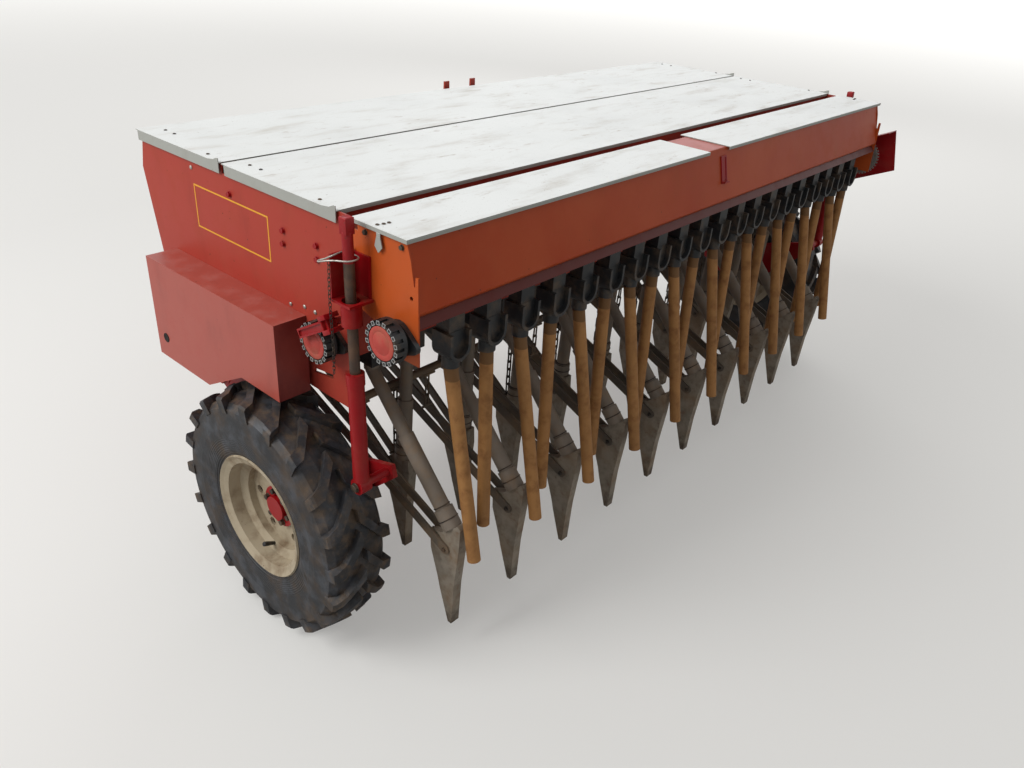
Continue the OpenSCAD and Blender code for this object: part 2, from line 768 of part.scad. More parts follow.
chute_top = box_floor_z - sheet_t - seat;
cup_z = hopper_top_z - 289;

// Outline of a cup with a round bottom
function cup(r, top) = concat(arc_pts([0, 0], r, 180, 360, 16), [[r, top], [-r, top]]);

module box_chutes() {
    color("darkslategray") for (i = [0:row_count - 1]) {
        translate([row_x(i), 0, 0]) {
            along_x(-25, 50) polygon([[-404, chute_top], [-446, chute_top],
                [-446, cup_z - 3], [-404, cup_z - 3]]);
            translate([0, -400, cup_z]) rotate([90, 0, 0]) difference() {
                linear_extrude(62) polygon(cup(34, 40));
                translate([0, 0, 47]) linear_extrude(16) polygon(cup(25, 41));
            }
            translate([0, -430, tube_top[1] + 4]) cylinder(h = 31, r = 22, $fn = 24);
        }
    }
}

module tan_tubes() {
    color("burlywood") for (i = [0:row_count - 1]) {
        low = [i % 2 == 0 ? tube_end_y : -455, tan_tube_end_z];
        top = tube_top + [0, i % 2 == 0 ? 0 : 2.8];
        difference() {
            rod_between(row_x(i), low, top, tan_tube_r);
            rod_between(row_x(i), low - (top - low) * 0.01, low + (top - low) * 0.96,
                tan_tube_r - tan_tube_wall);
        }
    }
}

module feed_units() {
    color("darkslategray") for (i = [0:row_count - 1]) {
        translate([row_x(i), 0, 0]) {
            block([-30, -178, floor_under - 55], [60, 76, 55]);
            block([-30, 345, floor_under - 55], [60, 76, 55]);
        }
    }
}

neck_rear = [-459, 436];
function boot_y(i) = i % 2 == 0 ? 0 : boot_stagger;
outlet = [-140, floor_under - 80];
collar_r = 27;

module seed_tubes() {
    color("gray") for (i = [0:row_count - 1]) {
        neck = neck_rear + [boot_y(i), 0];
        line = neck - outlet;
        stop = neck - unit(line) * (seat + (i % 2 == 0 ? 0 : collar_r * abs(line[0] / line[1])));
        translate([row_x(i), outlet[0], outlet[1]])
            cylinder(h = floor_under - 55 - seat - outlet[1], r = 20, $fn = 24);
        rod_between(row_x(i), outlet, outlet + line * 0.45, 18);
        rod_between(row_x(i), outlet + line * 0.42, outlet + line * 0.92, 22);
        rod_between(row_x(i), outlet + line * 0.88, stop, collar_r);
    }
}

// Outline of a boot below its neck, and the two tops that take the tube
boot_low = [[-497, 383], [-485, 252], [-481, boot_tip_z], [-468, boot_tip_z], [-422, 245],
    [-385, 326], [-380, 390]];
boot_top_rear = [[-428, 408], [-490, 464], [-500, 455]];
boot_top_front = [[-428, 436], [-493, 436]];

// A boot's edge in front is a blunt knife
module boot(i) {
    translate([row_x(i), boot_y(i), 0]) intersection() {
        along_x(-boot_w / 2 - 1, boot_w + 2)
            polygon(concat(boot_low, i % 2 == 0 ? boot_top_rear : boot_top_front));
        translate([0, 0, boot_tip_z - 1]) linear_extrude(500)
            polygon([[-boot_w / 2, -510], [boot_w / 2, -510], [boot_w / 2, -432],
                [4, -370], [-4, -370], [-boot_w / 2, -432]]);
    }
}

module boots() {
    color("gray") for (i = [0:row_count - 1]) {
        boot(i);
    }
}

arm_bolt = [-450, 367];

module drag_arms() {
    color("dimgray") for (i = [0:row_count - 1]) {
        low = arm_bolt + [boot_y(i), 0];
        for (s = [-1, 1]) {
            x = row_x(i) + s * (boot_w / 2 + 3 + seat) - 3;
            difference() {
                along_x(x, 6) polygon(eye_bar(drag_pivot, low, 32, 15));
                bar_x(x - 1, 8, drag_pivot[0], drag_pivot[1], 22 + seat);
            }
        }
    }
}

// Chains from the lift shaft down to the rear arms and the front boots
link_size = [16, 36];
link_wire = 4;
link_over = 2 * link_wire - 0.6;
chain_bar_r = 4;

// Height of a bar that rests on the line from p to q, off above it
function resting(p, q, off) = p[1] + (lift_shaft[0] - p[0]) * (q[1] - p[1]) / (q[0] - p[0])
    + off * run(p, q) / abs(q[0] - p[0]);
function chain_low(i) = i % 2 == 0
    ? resting(arm_bolt, drag_pivot, 15 + chain_bar_r + seat)
    : resting(boot_low[len(boot_low) - 1] + [boot_y(i), 0],
        boot_top_front[0] + [boot_y(i), 0], chain_bar_r + seat);

module chain_link(turned, length) {
    rotate([0, 0, turned]) difference() {
        block([-link_size[0] / 2, -link_wire / 2, -length],
            [link_size[0], link_wire, length]);
        block([-link_size[0] / 2 + link_wire, -link_wire, -length + link_wire],
            [link_size[0] - 2 * link_wire, 2 * link_wire, length - 2 * link_wire]);
    }
}

module lift_chains() {
    top = lift_shaft[1] - 12 - seat;
    color("dimgray") for (i = [0:row_count - 1]) {
        drop = top - 9 - chain_low(i) - 3;
        n = round((drop - link_size[1]) / (link_size[1] - link_over));
        length = (drop + n * link_over) / (n + 1);
        translate([row_x(i), lift_shaft[0], 0]) {
            bar_x(-28, 56, 0, top - 5, 5);
            bar_x(-22, 44, 0, chain_low(i), chain_bar_r);
            for (k = [0:n]) {
                translate([0, 0, top - 9 - k * (length - link_over)])
                    chain_link(k % 2 * 90, length);
            }
        }
    }
}

placed() hopper_trough();
placed() end_panel(-1);  // end_panel_left
placed() end_panel(1);  // end_panel_right
placed() seed_box();
placed() rear_panel();
placed() rear_end_plates();
placed() lid_hinges();
placed() lid_front();
placed() lid_rear();
placed() lid_box(-1);  // lid_box_left
placed() lid_box(1);  // lid_box_right
placed() drive_cover_left();
placed() chain_guard_right();
placed() seed_gear();
placed() side_plates();
placed() front_beam();
placed() arm_mounts();
placed() hopper_stands();
placed() drag_beam();
placed() drawbar(-1);  // drawbar_left
placed() drawbar(1);  // drawbar_right
placed() hitch_eye();
placed() jack_tube();
placed() jack_leg();
placed() wheel_arm(-1);  // wheel_arm_left
placed() wheel_arm(1);  // wheel_arm_right
placed() tyre(-1);  // tyre_left
placed() tyre(1);  // tyre_right
placed() rim(-1);  // rim_left
placed() rim(1);  // rim_right
placed() hub(-1);  // hub_left
placed() hub(1);  // hub_right
placed() barrel(-1);  // barrel_left
placed() barrel(1);  // barrel_right
placed() rod(-1);  // rod_left
placed() rod(1);  // rod_right
placed() cylinder_brackets();
placed() rate_knobs();
placed() box_chutes();
placed() tan_tubes();
placed() feed_units();
placed() seed_tubes();
placed() drag_arms();
placed() lift_chains();
placed() boots();
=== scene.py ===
"""Finish and studio of a towed seed drill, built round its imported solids.

The file is laid out as an add-on and run as a script. Each operator dresses one group
of pieces; the last ones build the studio. Lengths are metres in the frame of the solids.
"""

import math

import bmesh
import bpy
from bpy.props import FloatProperty, FloatVectorProperty, PointerProperty
from mathutils import Matrix, Vector


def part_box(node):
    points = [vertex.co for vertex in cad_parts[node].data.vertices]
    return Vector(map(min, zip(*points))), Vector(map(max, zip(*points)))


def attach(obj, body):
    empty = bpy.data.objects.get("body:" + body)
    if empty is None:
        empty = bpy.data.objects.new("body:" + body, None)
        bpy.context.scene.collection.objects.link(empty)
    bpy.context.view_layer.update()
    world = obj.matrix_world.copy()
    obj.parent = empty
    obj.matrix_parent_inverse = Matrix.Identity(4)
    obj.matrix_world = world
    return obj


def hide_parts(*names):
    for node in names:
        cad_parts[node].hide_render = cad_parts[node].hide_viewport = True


bl_info = {
    "name": "Seed Drill Finish",
    "version": (1, 0, 0),
    "blender": (4, 5, 0),
    "location": "View3D > Sidebar > Seed Drill",
    "description": "Paint, rubber, dust, small fasteners and a studio for a seed drill",
    "category": "Object",
}

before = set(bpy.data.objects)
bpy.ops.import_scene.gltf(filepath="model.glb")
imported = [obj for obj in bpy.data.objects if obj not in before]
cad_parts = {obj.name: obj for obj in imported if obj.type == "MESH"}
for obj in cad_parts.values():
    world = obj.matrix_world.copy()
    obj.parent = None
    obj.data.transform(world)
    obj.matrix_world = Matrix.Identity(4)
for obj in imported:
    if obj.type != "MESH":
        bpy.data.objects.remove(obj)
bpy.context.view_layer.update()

MM = 0.001
LEFT, RIGHT = -1, 1
SIDES = (("left", LEFT), ("right", RIGHT))


def corners(node):
    """Lowest and highest corner of a solid, as two vectors."""
    low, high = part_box(node)
    return Vector(low), Vector(high)


# The wheel's place fixes where the axle line lies in the frame of the solids
TYRE_LOW, TYRE_HIGH = corners("tyre_left")
AXLE_Y = (TYRE_LOW.y + TYRE_HIGH.y) / 2
AXLE_Z = (TYRE_LOW.z + TYRE_HIGH.z) / 2
WHEEL_X = -(TYRE_LOW.x + TYRE_HIGH.x) / 2
PANEL_X = -corners("end_panel_left")[0].x
# Top of the lid sheets: the ears at their rear corners stand 11 mm above it
LID_SHEET = corners("lid_front")[1].z - 11 * MM
LID_UNDER = LID_SHEET - 2.8 * MM
KNOB_FACE = -corners("rate_knobs")[0].x
ROD_LOW, ROD_HIGH = corners("rod_left")
ROD_X = -(ROD_LOW.x + ROD_HIGH.x) / 2
COVER_X = -corners("drive_cover_left")[0].x
ROWS = 20
ROW_END = -corners("boots")[0].x - 15 * MM
ROW_X = [ROW_END * (2 * i / (ROWS - 1) - 1) for i in range(ROWS)]

# Places in millimetres, as y from the wheel axle and height
FOOT_PIN = (-321, 598)
ROD_TOP = (-296, 1280)
BOOT_BOLT = (-450, 367)
TUBE_FOOT = (-459, 436)
KNOBS = ((-170, 935), (-415, 1030))
LEVER = (-188, 983)
CHAIN_TOP = (-274, 1178)
FRAME_MIDDLE = (230, 1112)
COVER_PLUG = (490, 710)
PANEL_BOLTS = ((224, 1185), (1, 1153), (3, 1120), (-129, 1153), (-130, 1120))
PANEL_RIVETS = ((-10, 965), (-68, 978), (-110, 978), (399, 1213))
END_PLATE_BOLTS = ((-421, 1236), (-305, 1236))
# Screws through the right half of each wide lid and through the right small lid,
# as x in metres and y from the axle in millimetres
LID_FRONT_SCREWS = ((1.282, 609), (1.283, 560), (1.318, 332))
LID_REAR_SCREWS = ((1.290, 187), (1.290, 140), (1.318, -131))
LID_BOX_SCREWS = ((1.326, -337), (1.312, -341), (1.298, -342))
# A front boot stands this far ahead of a rear one, in millimetres
STAGGER = 330
# The pin chain of each side: distance from the middle, pitch and number of its links
CHAIN_X, LINK_PITCH, LINKS = 1408, 9.8, 28
# Radii of the wheel nuts and of the valve stem about the wheel's axis, in metres
NUT_RADIUS, STEM_RADIUS = 49 * MM, 140 * MM
# The red paint of the lift rods wears out between these heights, in metres
ROD_PAINT = (1.176, 1.182)
# The picture's camera, solved from edges in it: its place in metres, with y from the wheel
# axle, and its yaw, pitch and roll in degrees
CAMERA_PLACE = (-2.3975, -1.6097, 1.8412)
CAMERA_TURN = (-50.757, -29.893, 4.494)


def srgb(code):
    """Linear colour of an sRGB hex code such as "a03020"."""
    parts = [int(code[i : i + 2], 16) / 255 for i in (0, 2, 4)]
    linear = [p / 12.92 if p <= 0.04045 else ((p + 0.055) / 1.055) ** 2.4 for p in parts]
    return (*linear, 1.0)


class DrillColours(bpy.types.PropertyGroup):
    """Colours of the drill's paints, rubber and plastics."""

    red: FloatVectorProperty(
        name="Hopper red",
        description="Faded red paint of the hopper and frame",
        subtype="COLOR", size=4, min=0, max=1, default=srgb("a23a2d"),
    )
    orange: FloatVectorProperty(
        name="Repainted orange-red",
        description="Orange-red paint of the rear panel and rear end plates",
        subtype="COLOR", size=4, min=0, max=1, default=srgb("b8511f"),
    )
    bright: FloatVectorProperty(
        name="Bright red",
        description="Red paint of the lift cylinders and wheel arms",
        subtype="COLOR", size=4, min=0, max=1, default=srgb("900e14"),
    )
    cover: FloatVectorProperty(
        name="Faded red",
        description="Chalky red paint of the drive cover",
        subtype="COLOR", size=4, min=0, max=1, default=srgb("a44c40"),
    )
    marking: FloatVectorProperty(
        name="Frame line",
        description="Yellow film of the blank frame on the end panels",
        subtype="COLOR", size=4, min=0, max=1, default=srgb("e0a018"),
    )
    lid: FloatVectorProperty(
        name="Lid sheet",
        description="Pale weathered sheet of the lids",
        subtype="COLOR", size=4, min=0, max=1, default=srgb("e6e8e6"),
    )
    rim: FloatVectorProperty(
        name="Rim cream",
        description="Cream enamel of the rims",
        subtype="COLOR", size=4, min=0, max=1, default=srgb("a89b84"),
    )
    tube: FloatVectorProperty(
        name="Tan tube",
        description="Tan rubber of the hanging tubes",
        subtype="COLOR", size=4, min=0, max=1, default=srgb("a0713f"),
    )
    soil: FloatVectorProperty(
        name="Soil",
        description="Dried soil and field dust",
        subtype="COLOR", size=4, min=0, max=1, default=srgb("8a6f52"),
    )


class DrillSizes(bpy.types.PropertyGroup):
    """Sizes of the small fasteners and of the camera's view."""

    bolt_width: FloatProperty(
        name="Bolt head width",
        description="Across the flats of a panel bolt's head",
        default=16 * MM, min=8 * MM, max=30 * MM, unit="LENGTH",
    )
    lid_edge: FloatProperty(
        name="Lid edge",
        description="Depth of the narrow folded edges of the rear lids",
        default=7 * MM, min=4 * MM, max=15 * MM, unit="LENGTH",
    )
    frame_line: FloatProperty(
        name="Frame line width",
        description="Width of the yellow line round the blank place on an end panel",
        default=4 * MM, min=2 * MM, max=10 * MM, unit="LENGTH",
    )
    wire: FloatProperty(
        name="Wire",
        description="Thickness of the pin clips' wire",
        default=3.8 * MM, min=2 * MM, max=6 * MM, unit="LENGTH",
    )
    lens: FloatProperty(
        name="Lens",
        description="Focal length that gives the picture's view on a 36 mm sensor",
        default=28.606, min=10, max=100,
    )


# Materials


def add(tree, kind, place, inputs=None, **settings):
    """Adds a node, sets its properties, and links or sets its inputs."""
    node = tree.nodes.new(kind)
    node.location = place
    for name, value in settings.items():
        setattr(node, name, value)
    for socket, value in (inputs or {}).items():
        if isinstance(value, bpy.types.NodeSocket):
            tree.links.new(value, node.inputs[socket])
        else:
            node.inputs[socket].default_value = value
    return node


def new_material(name):
    """An empty node material with its output, and the object coordinates it reads."""
    material = bpy.data.materials.new(name)
    material.use_nodes = True
    tree = material.node_tree
    tree.nodes.clear()
    out = add(tree, "ShaderNodeOutputMaterial", (900, 0))
    at = add(tree, "ShaderNodeTexCoord", (-1500, 0))
    return material, tree, out, at


def darker(colour, share):
    """A colour with its light cut to a share."""
    return (*(c * share for c in colour[:3]), 1.0)


def patches(tree, at, row, size_mm, low, high, most, detail=5.0, stretch=(1, 1, 1)):
    """Share of cloudy patches size_mm across: none where the cloud is below low."""
    place = add(
        tree, "ShaderNodeMapping", (-1300, row),
        {"Vector": at.outputs["Object"], "Scale": stretch},
    )
    cloud = add(
        tree, "ShaderNodeTexNoise", (-1100, row),
        {"Vector": place.outputs[0], "Scale": 1 / (size_mm * MM), "Detail": detail,
         "Roughness": 0.62},
    )
    share = add(
        tree, "ShaderNodeMapRange", (-900, row),
        {"Value": cloud.outputs["Fac"], "From Min": low, "From Max": high, "To Max": most},
        interpolation_type="SMOOTHSTEP",
    )
    return share.outputs["Result"]


def settled(tree, at, row, share, on_walls):
    """The share that lies on a surface looking up, and on_walls of it elsewhere."""
    turned = add(tree, "ShaderNodeSeparateXYZ", (-900, row), {"Vector": at.outputs["Normal"]})
    lying = add(
        tree, "ShaderNodeMapRange", (-700, row),
        {"Value": turned.outputs["Z"], "From Min": 0.2, "From Max": 0.9, "To Min": on_walls},
    )
    both_of = add(
        tree, "ShaderNodeMath", (-500, row), {0: share, 1: lying.outputs["Result"]},
        operation="MULTIPLY",
    )
    return both_of.outputs[0]


def by_height(tree, at, row, bare, full, ragged_mm):
    """Share that grows from height bare to height full, with a ragged edge."""
    place = add(tree, "ShaderNodeSeparateXYZ", (-1300, row), {"Vector": at.outputs["Object"]})
    edge = add(
        tree, "ShaderNodeTexNoise", (-1300, row - 150),
        {"Vector": at.outputs["Object"], "Scale": 28.0, "Detail": 6.0, "Roughness": 0.65},
    )
    moved = add(
        tree, "ShaderNodeMath", (-1100, row),
        {0: edge.outputs["Fac"], 1: ragged_mm * MM, 2: place.outputs["Z"]},
        operation="MULTIPLY_ADD",
    )
    share = add(
        tree, "ShaderNodeMapRange", (-900, row),
        {"Value": moved.outputs[0], "From Min": bare, "From Max": full},
        interpolation_type="SMOOTHSTEP",
    )
    return share.outputs["Result"]


def stained(tree, below, stains):
    """Lays (share, colour) stains over a colour, one after another."""
    for i, (share, colour) in enumerate(stains):
        below = add(
            tree, "ShaderNodeMix", (-300 + 150 * i, 300), {0: share, 6: below, 7: colour},
            data_type="RGBA",
        ).outputs[2]
    return below


def surface(tree, out, at, colour, share, smooth, dull, relief_mm, depth_mm, **inputs):
    """The shader: roughness goes from smooth to dull with a share, over a fine relief."""
    rough = add(
        tree, "ShaderNodeMapRange", (300, -100),
        {"Value": share, "To Min": smooth, "To Max": dull},
    )
    grain = add(
        tree, "ShaderNodeTexNoise", (100, -400),
        {"Vector": at.outputs["Object"], "Scale": 1 / (relief_mm * MM), "Detail": 3.0},
    )
    bump = add(
        tree, "ShaderNodeBump", (300, -400),
        {"Height": grain.outputs["Fac"], "Strength": 1.0, "Distance": depth_mm * MM},
    )
    shader = add(
        tree, "ShaderNodeBsdfPrincipled", (600, 0),
        {"Base Color": colour, "Roughness": rough.outputs["Result"], "Normal": bump.outputs[0]},
    )
    for name, value in inputs.items():
        socket = shader.inputs[name.replace("_", " ")]
        if isinstance(value, bpy.types.NodeSocket):
            tree.links.new(value, socket)
        else:
            socket.default_value = value
    tree.links.new(shader.outputs[0], out.inputs[0])


def painted_sheet(
    name, colour, soil, dust, smooth, on_walls=0.22, shine=0.2, rear_shade=None, lip=None
):
    """Sprayed enamel on sheet steel: faint run marks, dust where it lies, chips to rust, and
    painted shade on faces turned to the rear where a colour for it is given.
    """
    material, tree, out, at = new_material(name)
    faded = (*(c * 0.96 + 0.012 for c in colour[:3]), 1.0)
    grime = patches(tree, at, -300, 60, 0.42, 0.75, dust, 8)
    stains = [
        (patches(tree, at, 500, 380, 0.35, 0.7, 0.5), faded),
        (patches(tree, at, 250, 90, 0.5, 0.78, 0.5, 6, (1, 1, 0.35)), darker(colour, 0.7)),
        (settled(tree, at, -300, grime, on_walls), soil),
        (patches(tree, at, -600, 15, 0.72, 0.74, 0.9, 3), srgb("47281b")),
    ]
    if rear_shade:
        # Painted shade: faces turned to the rear get this darker colour
        turned = add(tree, "ShaderNodeSeparateXYZ", (-900, 750), {"Vector": at.outputs["Normal"]})
        shaded = add(
            tree, "ShaderNodeMapRange", (-700, 750),
            {"Value": turned.outputs["Y"], "From Min": -0.5, "From Max": -0.9, "To Max": 0.85},
        )
        stains.insert(0, (shaded.outputs["Result"], rear_shade))
    if lip:
        # Below this height the colour is darker
        stains.append((by_height(tree, at, -900, lip, lip - 9 * MM, 4), srgb("561a12")))
    base = stained(tree, colour, stains)
    surface(
        tree, out, at, base, grime, smooth, 0.85, 150, 1.2,
        IOR=1.5, Specular_IOR_Level=shine,
    )
    return material


def weathered_lid(name, colour, soil):
    """Pale coated sheet: chalky, with brown wash marks along it and points of rust."""
    material, tree, out, at = new_material(name)
    wash = patches(tree, at, 250, 70, 0.48, 0.8, 0.42, 8, (0.3, 1, 1))
    turned = add(tree, "ShaderNodeSeparateXYZ", (-900, 750), {"Vector": at.outputs["Normal"]})
    # Painted shade: the folded edges, faces that look sideways, are painted greyer than the top
    edge = add(
        tree, "ShaderNodeMapRange", (-700, 750),
        {"Value": turned.outputs["Z"], "From Min": 0.8, "From Max": 0.3, "To Max": 0.85},
    )
    base = stained(
        tree,
        colour,
        (
            (patches(tree, at, 500, 300, 0.4, 0.75, 0.4, 6), darker(colour, 0.84)),
            (wash, srgb("a3937c")),
            (patches(tree, at, 0, 26, 0.6, 0.75, 0.4, 6, (0.4, 1, 1)), soil),
            (edge.outputs["Result"], srgb("8d8e86")),
            (patches(tree, at, -300, 10, 0.72, 0.76, 0.75, 2), srgb("6b4a34")),
            (patches(tree, at, -600, 7, 0.66, 0.7, 0.3, 2), srgb("8d8a80")),
        ),
    )
    surface(tree, out, at, base, wash, 0.5, 0.9, 240, 2.5, IOR=1.45, Specular_IOR_Level=0.3)
    return material


def old_iron(name, colour, soil, dust, smooth, metal=0.6, mud_top=None):
    """Rolled or cast steel, worn bare: brown film, rust and dried soil in patches."""
    material, tree, out, at = new_material(name)
    crust = patches(tree, at, 0, 80, 0.4, 0.7, dust, 8)
    stains = [
        (patches(tree, at, 500, 40, 0.35, 0.7, 1.0, 7), darker(colour, 0.6)),
        (patches(tree, at, 250, 20, 0.55, 0.75, 0.5, 6), srgb("5b3620")),
        (crust, soil),
    ]
    if mud_top:
        # Wet earth clings to the tips that run in the ground
        wet = by_height(tree, at, -300, mud_top + 60 * MM, mud_top - 90 * MM, 260)
        stains.append((wet, srgb("3d3126")))
    base = stained(tree, colour, stains)
    bare = add(
        tree, "ShaderNodeMapRange", (300, 150),
        {"Value": crust, "From Max": max(dust, 0.1), "To Min": metal, "To Max": 0.0},
    )
    surface(
        tree, out, at, base, crust, smooth, 0.95, 12, 0.5, Metallic=bare.outputs["Result"],
    )
    return material


def tyre_rubber(name, soil):
    """Vulcanised rubber: black flanks with fine rings, dry earth between the lugs."""
    material, tree, out, at = new_material(name)
    centred = add(
        tree, "ShaderNodeMapping", (-1300, 800),
        {"Vector": at.outputs["Object"], "Location": (0, -AXLE_Y, -AXLE_Z), "Scale": (0, 1, 1)},
    )
    radius = add(
        tree, "ShaderNodeVectorMath", (-1100, 800), {0: centred.outputs[0]},
        operation="LENGTH",
    )
    # In metres from the axis, the lugs begin at 0.29 and the bead's ribs end at 0.243
    tread = add(
        tree, "ShaderNodeMapRange", (-900, 800),
        {"Value": radius.outputs["Value"], "From Min": 0.29, "From Max": 0.338},
    )
    flank_dust = patches(tree, at, 250, 70, 0.42, 0.8, 0.55, 8)
    earth = patches(tree, at, 0, 38, 0.45, 0.72, 0.6, 8)
    clods = add(
        tree, "ShaderNodeMath", (-500, 100), {0: earth, 1: tread.outputs["Result"]},
        operation="MULTIPLY",
    )
    base = stained(
        tree,
        srgb("1f2023"),
        (
            (patches(tree, at, 500, 60, 0.42, 0.7, 0.8, 6), srgb("43464c")),
            (flank_dust, darker(soil, 0.42)),
            (clods.outputs[0], darker(soil, 0.55)),
        ),
    )
    rings = add(
        tree, "ShaderNodeTexWave", (-100, -600),
        {"Vector": centred.outputs[0], "Scale": 52.0, "Distortion": 0.0}, wave_type="RINGS",
        rings_direction="X",
    )
    near_rim = add(
        tree, "ShaderNodeMapRange", (-100, -850),
        {"Value": radius.outputs["Value"], "From Min": 0.243, "From Max": 0.232},
    )
    ribs = add(
        tree, "ShaderNodeMath", (100, -700),
        {0: rings.outputs["Fac"], 1: near_rim.outputs["Result"]}, operation="MULTIPLY",
    )
    surface(tree, out, at, base, flank_dust, 0.5, 0.95, 9, 0.4, IOR=1.52, Specular_IOR_Level=0.35)
    shader = out.inputs[0].links[0].from_node
    over_grain = add(
        tree, "ShaderNodeBump", (450, -600),
        {"Height": ribs.outputs[0], "Distance": 1.2 * MM,
         "Normal": shader.inputs["Normal"].links[0].from_socket},
    )
    tree.links.new(over_grain.outputs[0], shader.inputs["Normal"])
    return material


def moulded(name, colour, soil, dust, smooth, grain_mm=3.0, band=None):
    """Moulded rubber or plastic with a fine grain, and dust in it."""
    material, tree, out, at = new_material(name)
    film = patches(tree, at, 0, 40, 0.42, 0.75, dust, 8)
    stains = [
        (patches(tree, at, 500, 80, 0.4, 0.75, 1.0, 5, (1, 1, 0.3)), darker(colour, 0.72)),
        (film, soil),
    ]
    if band:
        # The top of a tube is darker above this height
        stains.append((by_height(tree, at, -300, band, band + 2 * MM, 3), darker(colour, 0.42)))
    base = stained(tree, colour, stains)
    surface(
        tree, out, at, base, film, smooth, 0.95, grain_mm, 0.25, IOR=1.5, Specular_IOR_Level=0.35
    )
    return material


def rod_steel(name, red, soil):
    """Rusty drawn bar below, and its head above in red paint that is wearing off."""
    material, tree, out, at = new_material(name)
    rust = patches(tree, at, 250, 30, 0.35, 0.7, 0.8, 7)
    worn = patches(tree, at, 0, 22, 0.6, 0.7, 0.7, 5)
    low = stained(
        tree,
        srgb("3f3128"),
        (
            (rust, srgb("5e4433")),
            (patches(tree, at, 500, 70, 0.5, 0.8, 0.5, 8), darker(soil, 0.6)),
        ),
    )
    base = stained(
        tree,
        low,
        ((by_height(tree, at, -300, *ROD_PAINT, 4), red), (worn, srgb("54332a"))),
    )
    surface(tree, out, at, base, rust, 0.42, 0.8, 10, 0.3, Metallic=0.25)
    return material


def film_line(name, colour):
    """Printed vinyl film: even colour, fine dust, edges a little lifted."""
    material, tree, out, at = new_material(name)
    faint = patches(tree, at, 250, 30, 0.5, 0.8, 0.35, 6)
    base = stained(tree, colour, ((faint, darker(colour, 0.6)),))
    surface(tree, out, at, base, faint, 0.4, 0.7, 6, 0.1, IOR=1.5)
    return material


def dress(nodes, material):
    """Gives CAD nodes one material."""
    for name in nodes:
        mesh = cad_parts[name].data
        mesh.materials.clear()
        mesh.materials.append(material)


def both(stem):
    """Names of a node's left and right copies."""
    return [f"{stem}_{name}" for name, side in SIDES]


